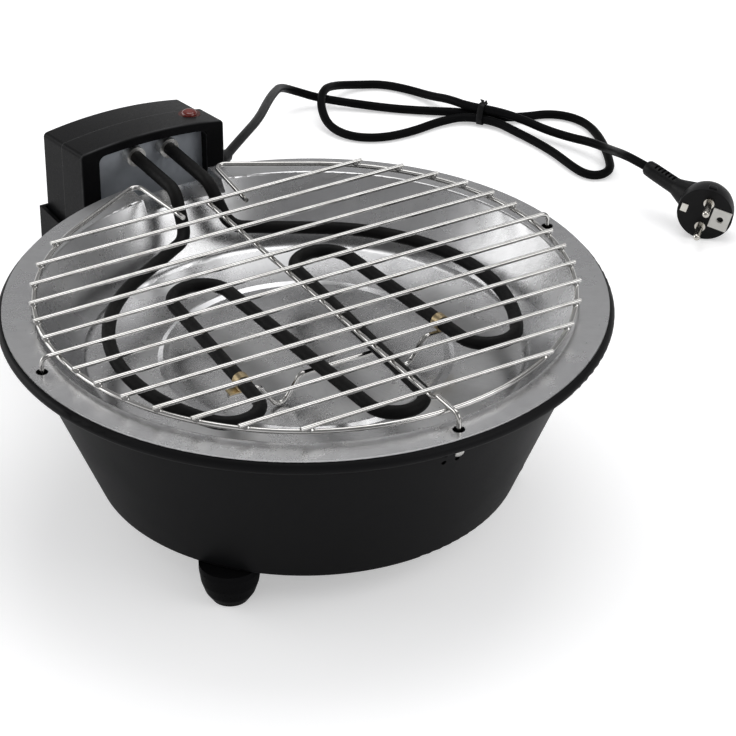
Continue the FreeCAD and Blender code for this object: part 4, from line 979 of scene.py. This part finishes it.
# floor, light and white surroundings
studio = {
    "floorSize": 7,
    "floorDrop": 0.0002,  # just clear of the feet
    "floorLook": {"Base Color": (0.86, 0.86, 0.86, 1), "Roughness": 0.9, "Specular IOR Level": 0.0,
                  "Emission Color": (1, 1, 1, 1)},
    "floorLift": 0.40,  # white added for the camera alone
    "backdrop": [(0.0, (1, 1, 1)), (0.14, (0.85, 0.85, 0.85)), (0.32, (0.34, 0.34, 0.345)),
                 (0.7, (0.27, 0.27, 0.275)), (1.0, (0.24, 0.24, 0.245))],  # from the horizon up
    "dimBackdrop": [(0.0, (0.34, 0.34, 0.34)), (0.3, (0.18, 0.18, 0.185))],
    "dimWay": (0.6, -0.8),  # the studio is dimmer to the front and right
    "dimShare": (0.0, 1.0, 0.1, 0.7),
    "ambient": [(0.0, (0.46, 0.46, 0.47)), (1.0, (0.54, 0.54, 0.55))],
}
startFresh()
bpy.ops.mesh.primitive_plane_add(size=studio["floorSize"], location=(0, 0, -studio["floorDrop"]))
floor = bpy.context.object
floor.name = "studioFloor"
floorFinish, floorTree, floorShader = newFinish("studioFloor", **studio["floorLook"])
floorPaths = floorTree.nodes.new("ShaderNodeLightPath")
floorLift = counted(floorTree, "MULTIPLY", floorPaths.outputs["Is Camera Ray"], studio["floorLift"])
floorTree.links.new(floorLift, floorShader.inputs["Emission Strength"])
floor.data.materials.append(floorFinish)

world = bpy.data.worlds.new("studioWorld")
world.use_nodes = True
scene.world = world
worldTree = world.node_tree
rays = worldTree.nodes.new("ShaderNodeLightPath").outputs
mirrored = counted(worldTree, "MAXIMUM", rays["Is Glossy Ray"], rays["Is Transmission Ray"])
seen = counted(worldTree, "MAXIMUM", rays["Is Camera Ray"], mirrored)
skyWay = splitAxes(worldTree, worldTree.nodes.new("ShaderNodeTexCoord").outputs["Generated"])
dimAcross, dimAlong = studio["dimWay"]
towardsDim = summed(worldTree, skyWay["X"], dimAcross, skyWay["Y"], dimAlong)
backdrop = blended(worldTree, between(worldTree, towardsDim, *studio["dimShare"]),
                   shades(worldTree, skyWay["Z"], studio["backdrop"]),
                   shades(worldTree, skyWay["Z"], studio["dimBackdrop"]))
ambient = shades(worldTree, skyWay["Z"], studio["ambient"])
surroundings = blended(worldTree, seen, ambient, backdrop)
worldTree.links.new(surroundings, worldTree.nodes["Background"].inputs["Color"])

studioLamps = {
    "overheadBox": {"place": (0.45, 0.45, 1.7), "aim": (0.05, 0, 0.05), "size": (1.3, 1.3), "power": 10.5},
    "frontRightBox": {"place": (0.95, -1.35, 1.15), "aim": (0, 0, 0.1), "size": (1.4, 1.0), "power": 9.0},
    "backLeftBox": {"place": (-1.35, 1.35, 0.72), "aim": (0, 0, 0.1), "size": (1.9, 0.9), "power": 10.5},
}
for lampName, lamp in studioLamps.items():
    lampData = bpy.data.lights.new(lampName, "AREA")
    lampData.shape = "RECTANGLE"
    lampData.size, lampData.size_y = lamp["size"]
    lampData.energy = lamp["power"]
    lampHolder = bpy.data.objects.new(lampName, lampData)
    lampHolder.location = lamp["place"]
    lampWay = Vector(lamp["aim"]) - Vector(lamp["place"])
    lampHolder.rotation_euler = lampWay.to_track_quat("-Z", "Y").to_euler()
    scene.collection.objects.link(lampHolder)
scene.view_settings.view_transform = "Standard"
print("studio set")

startFresh()
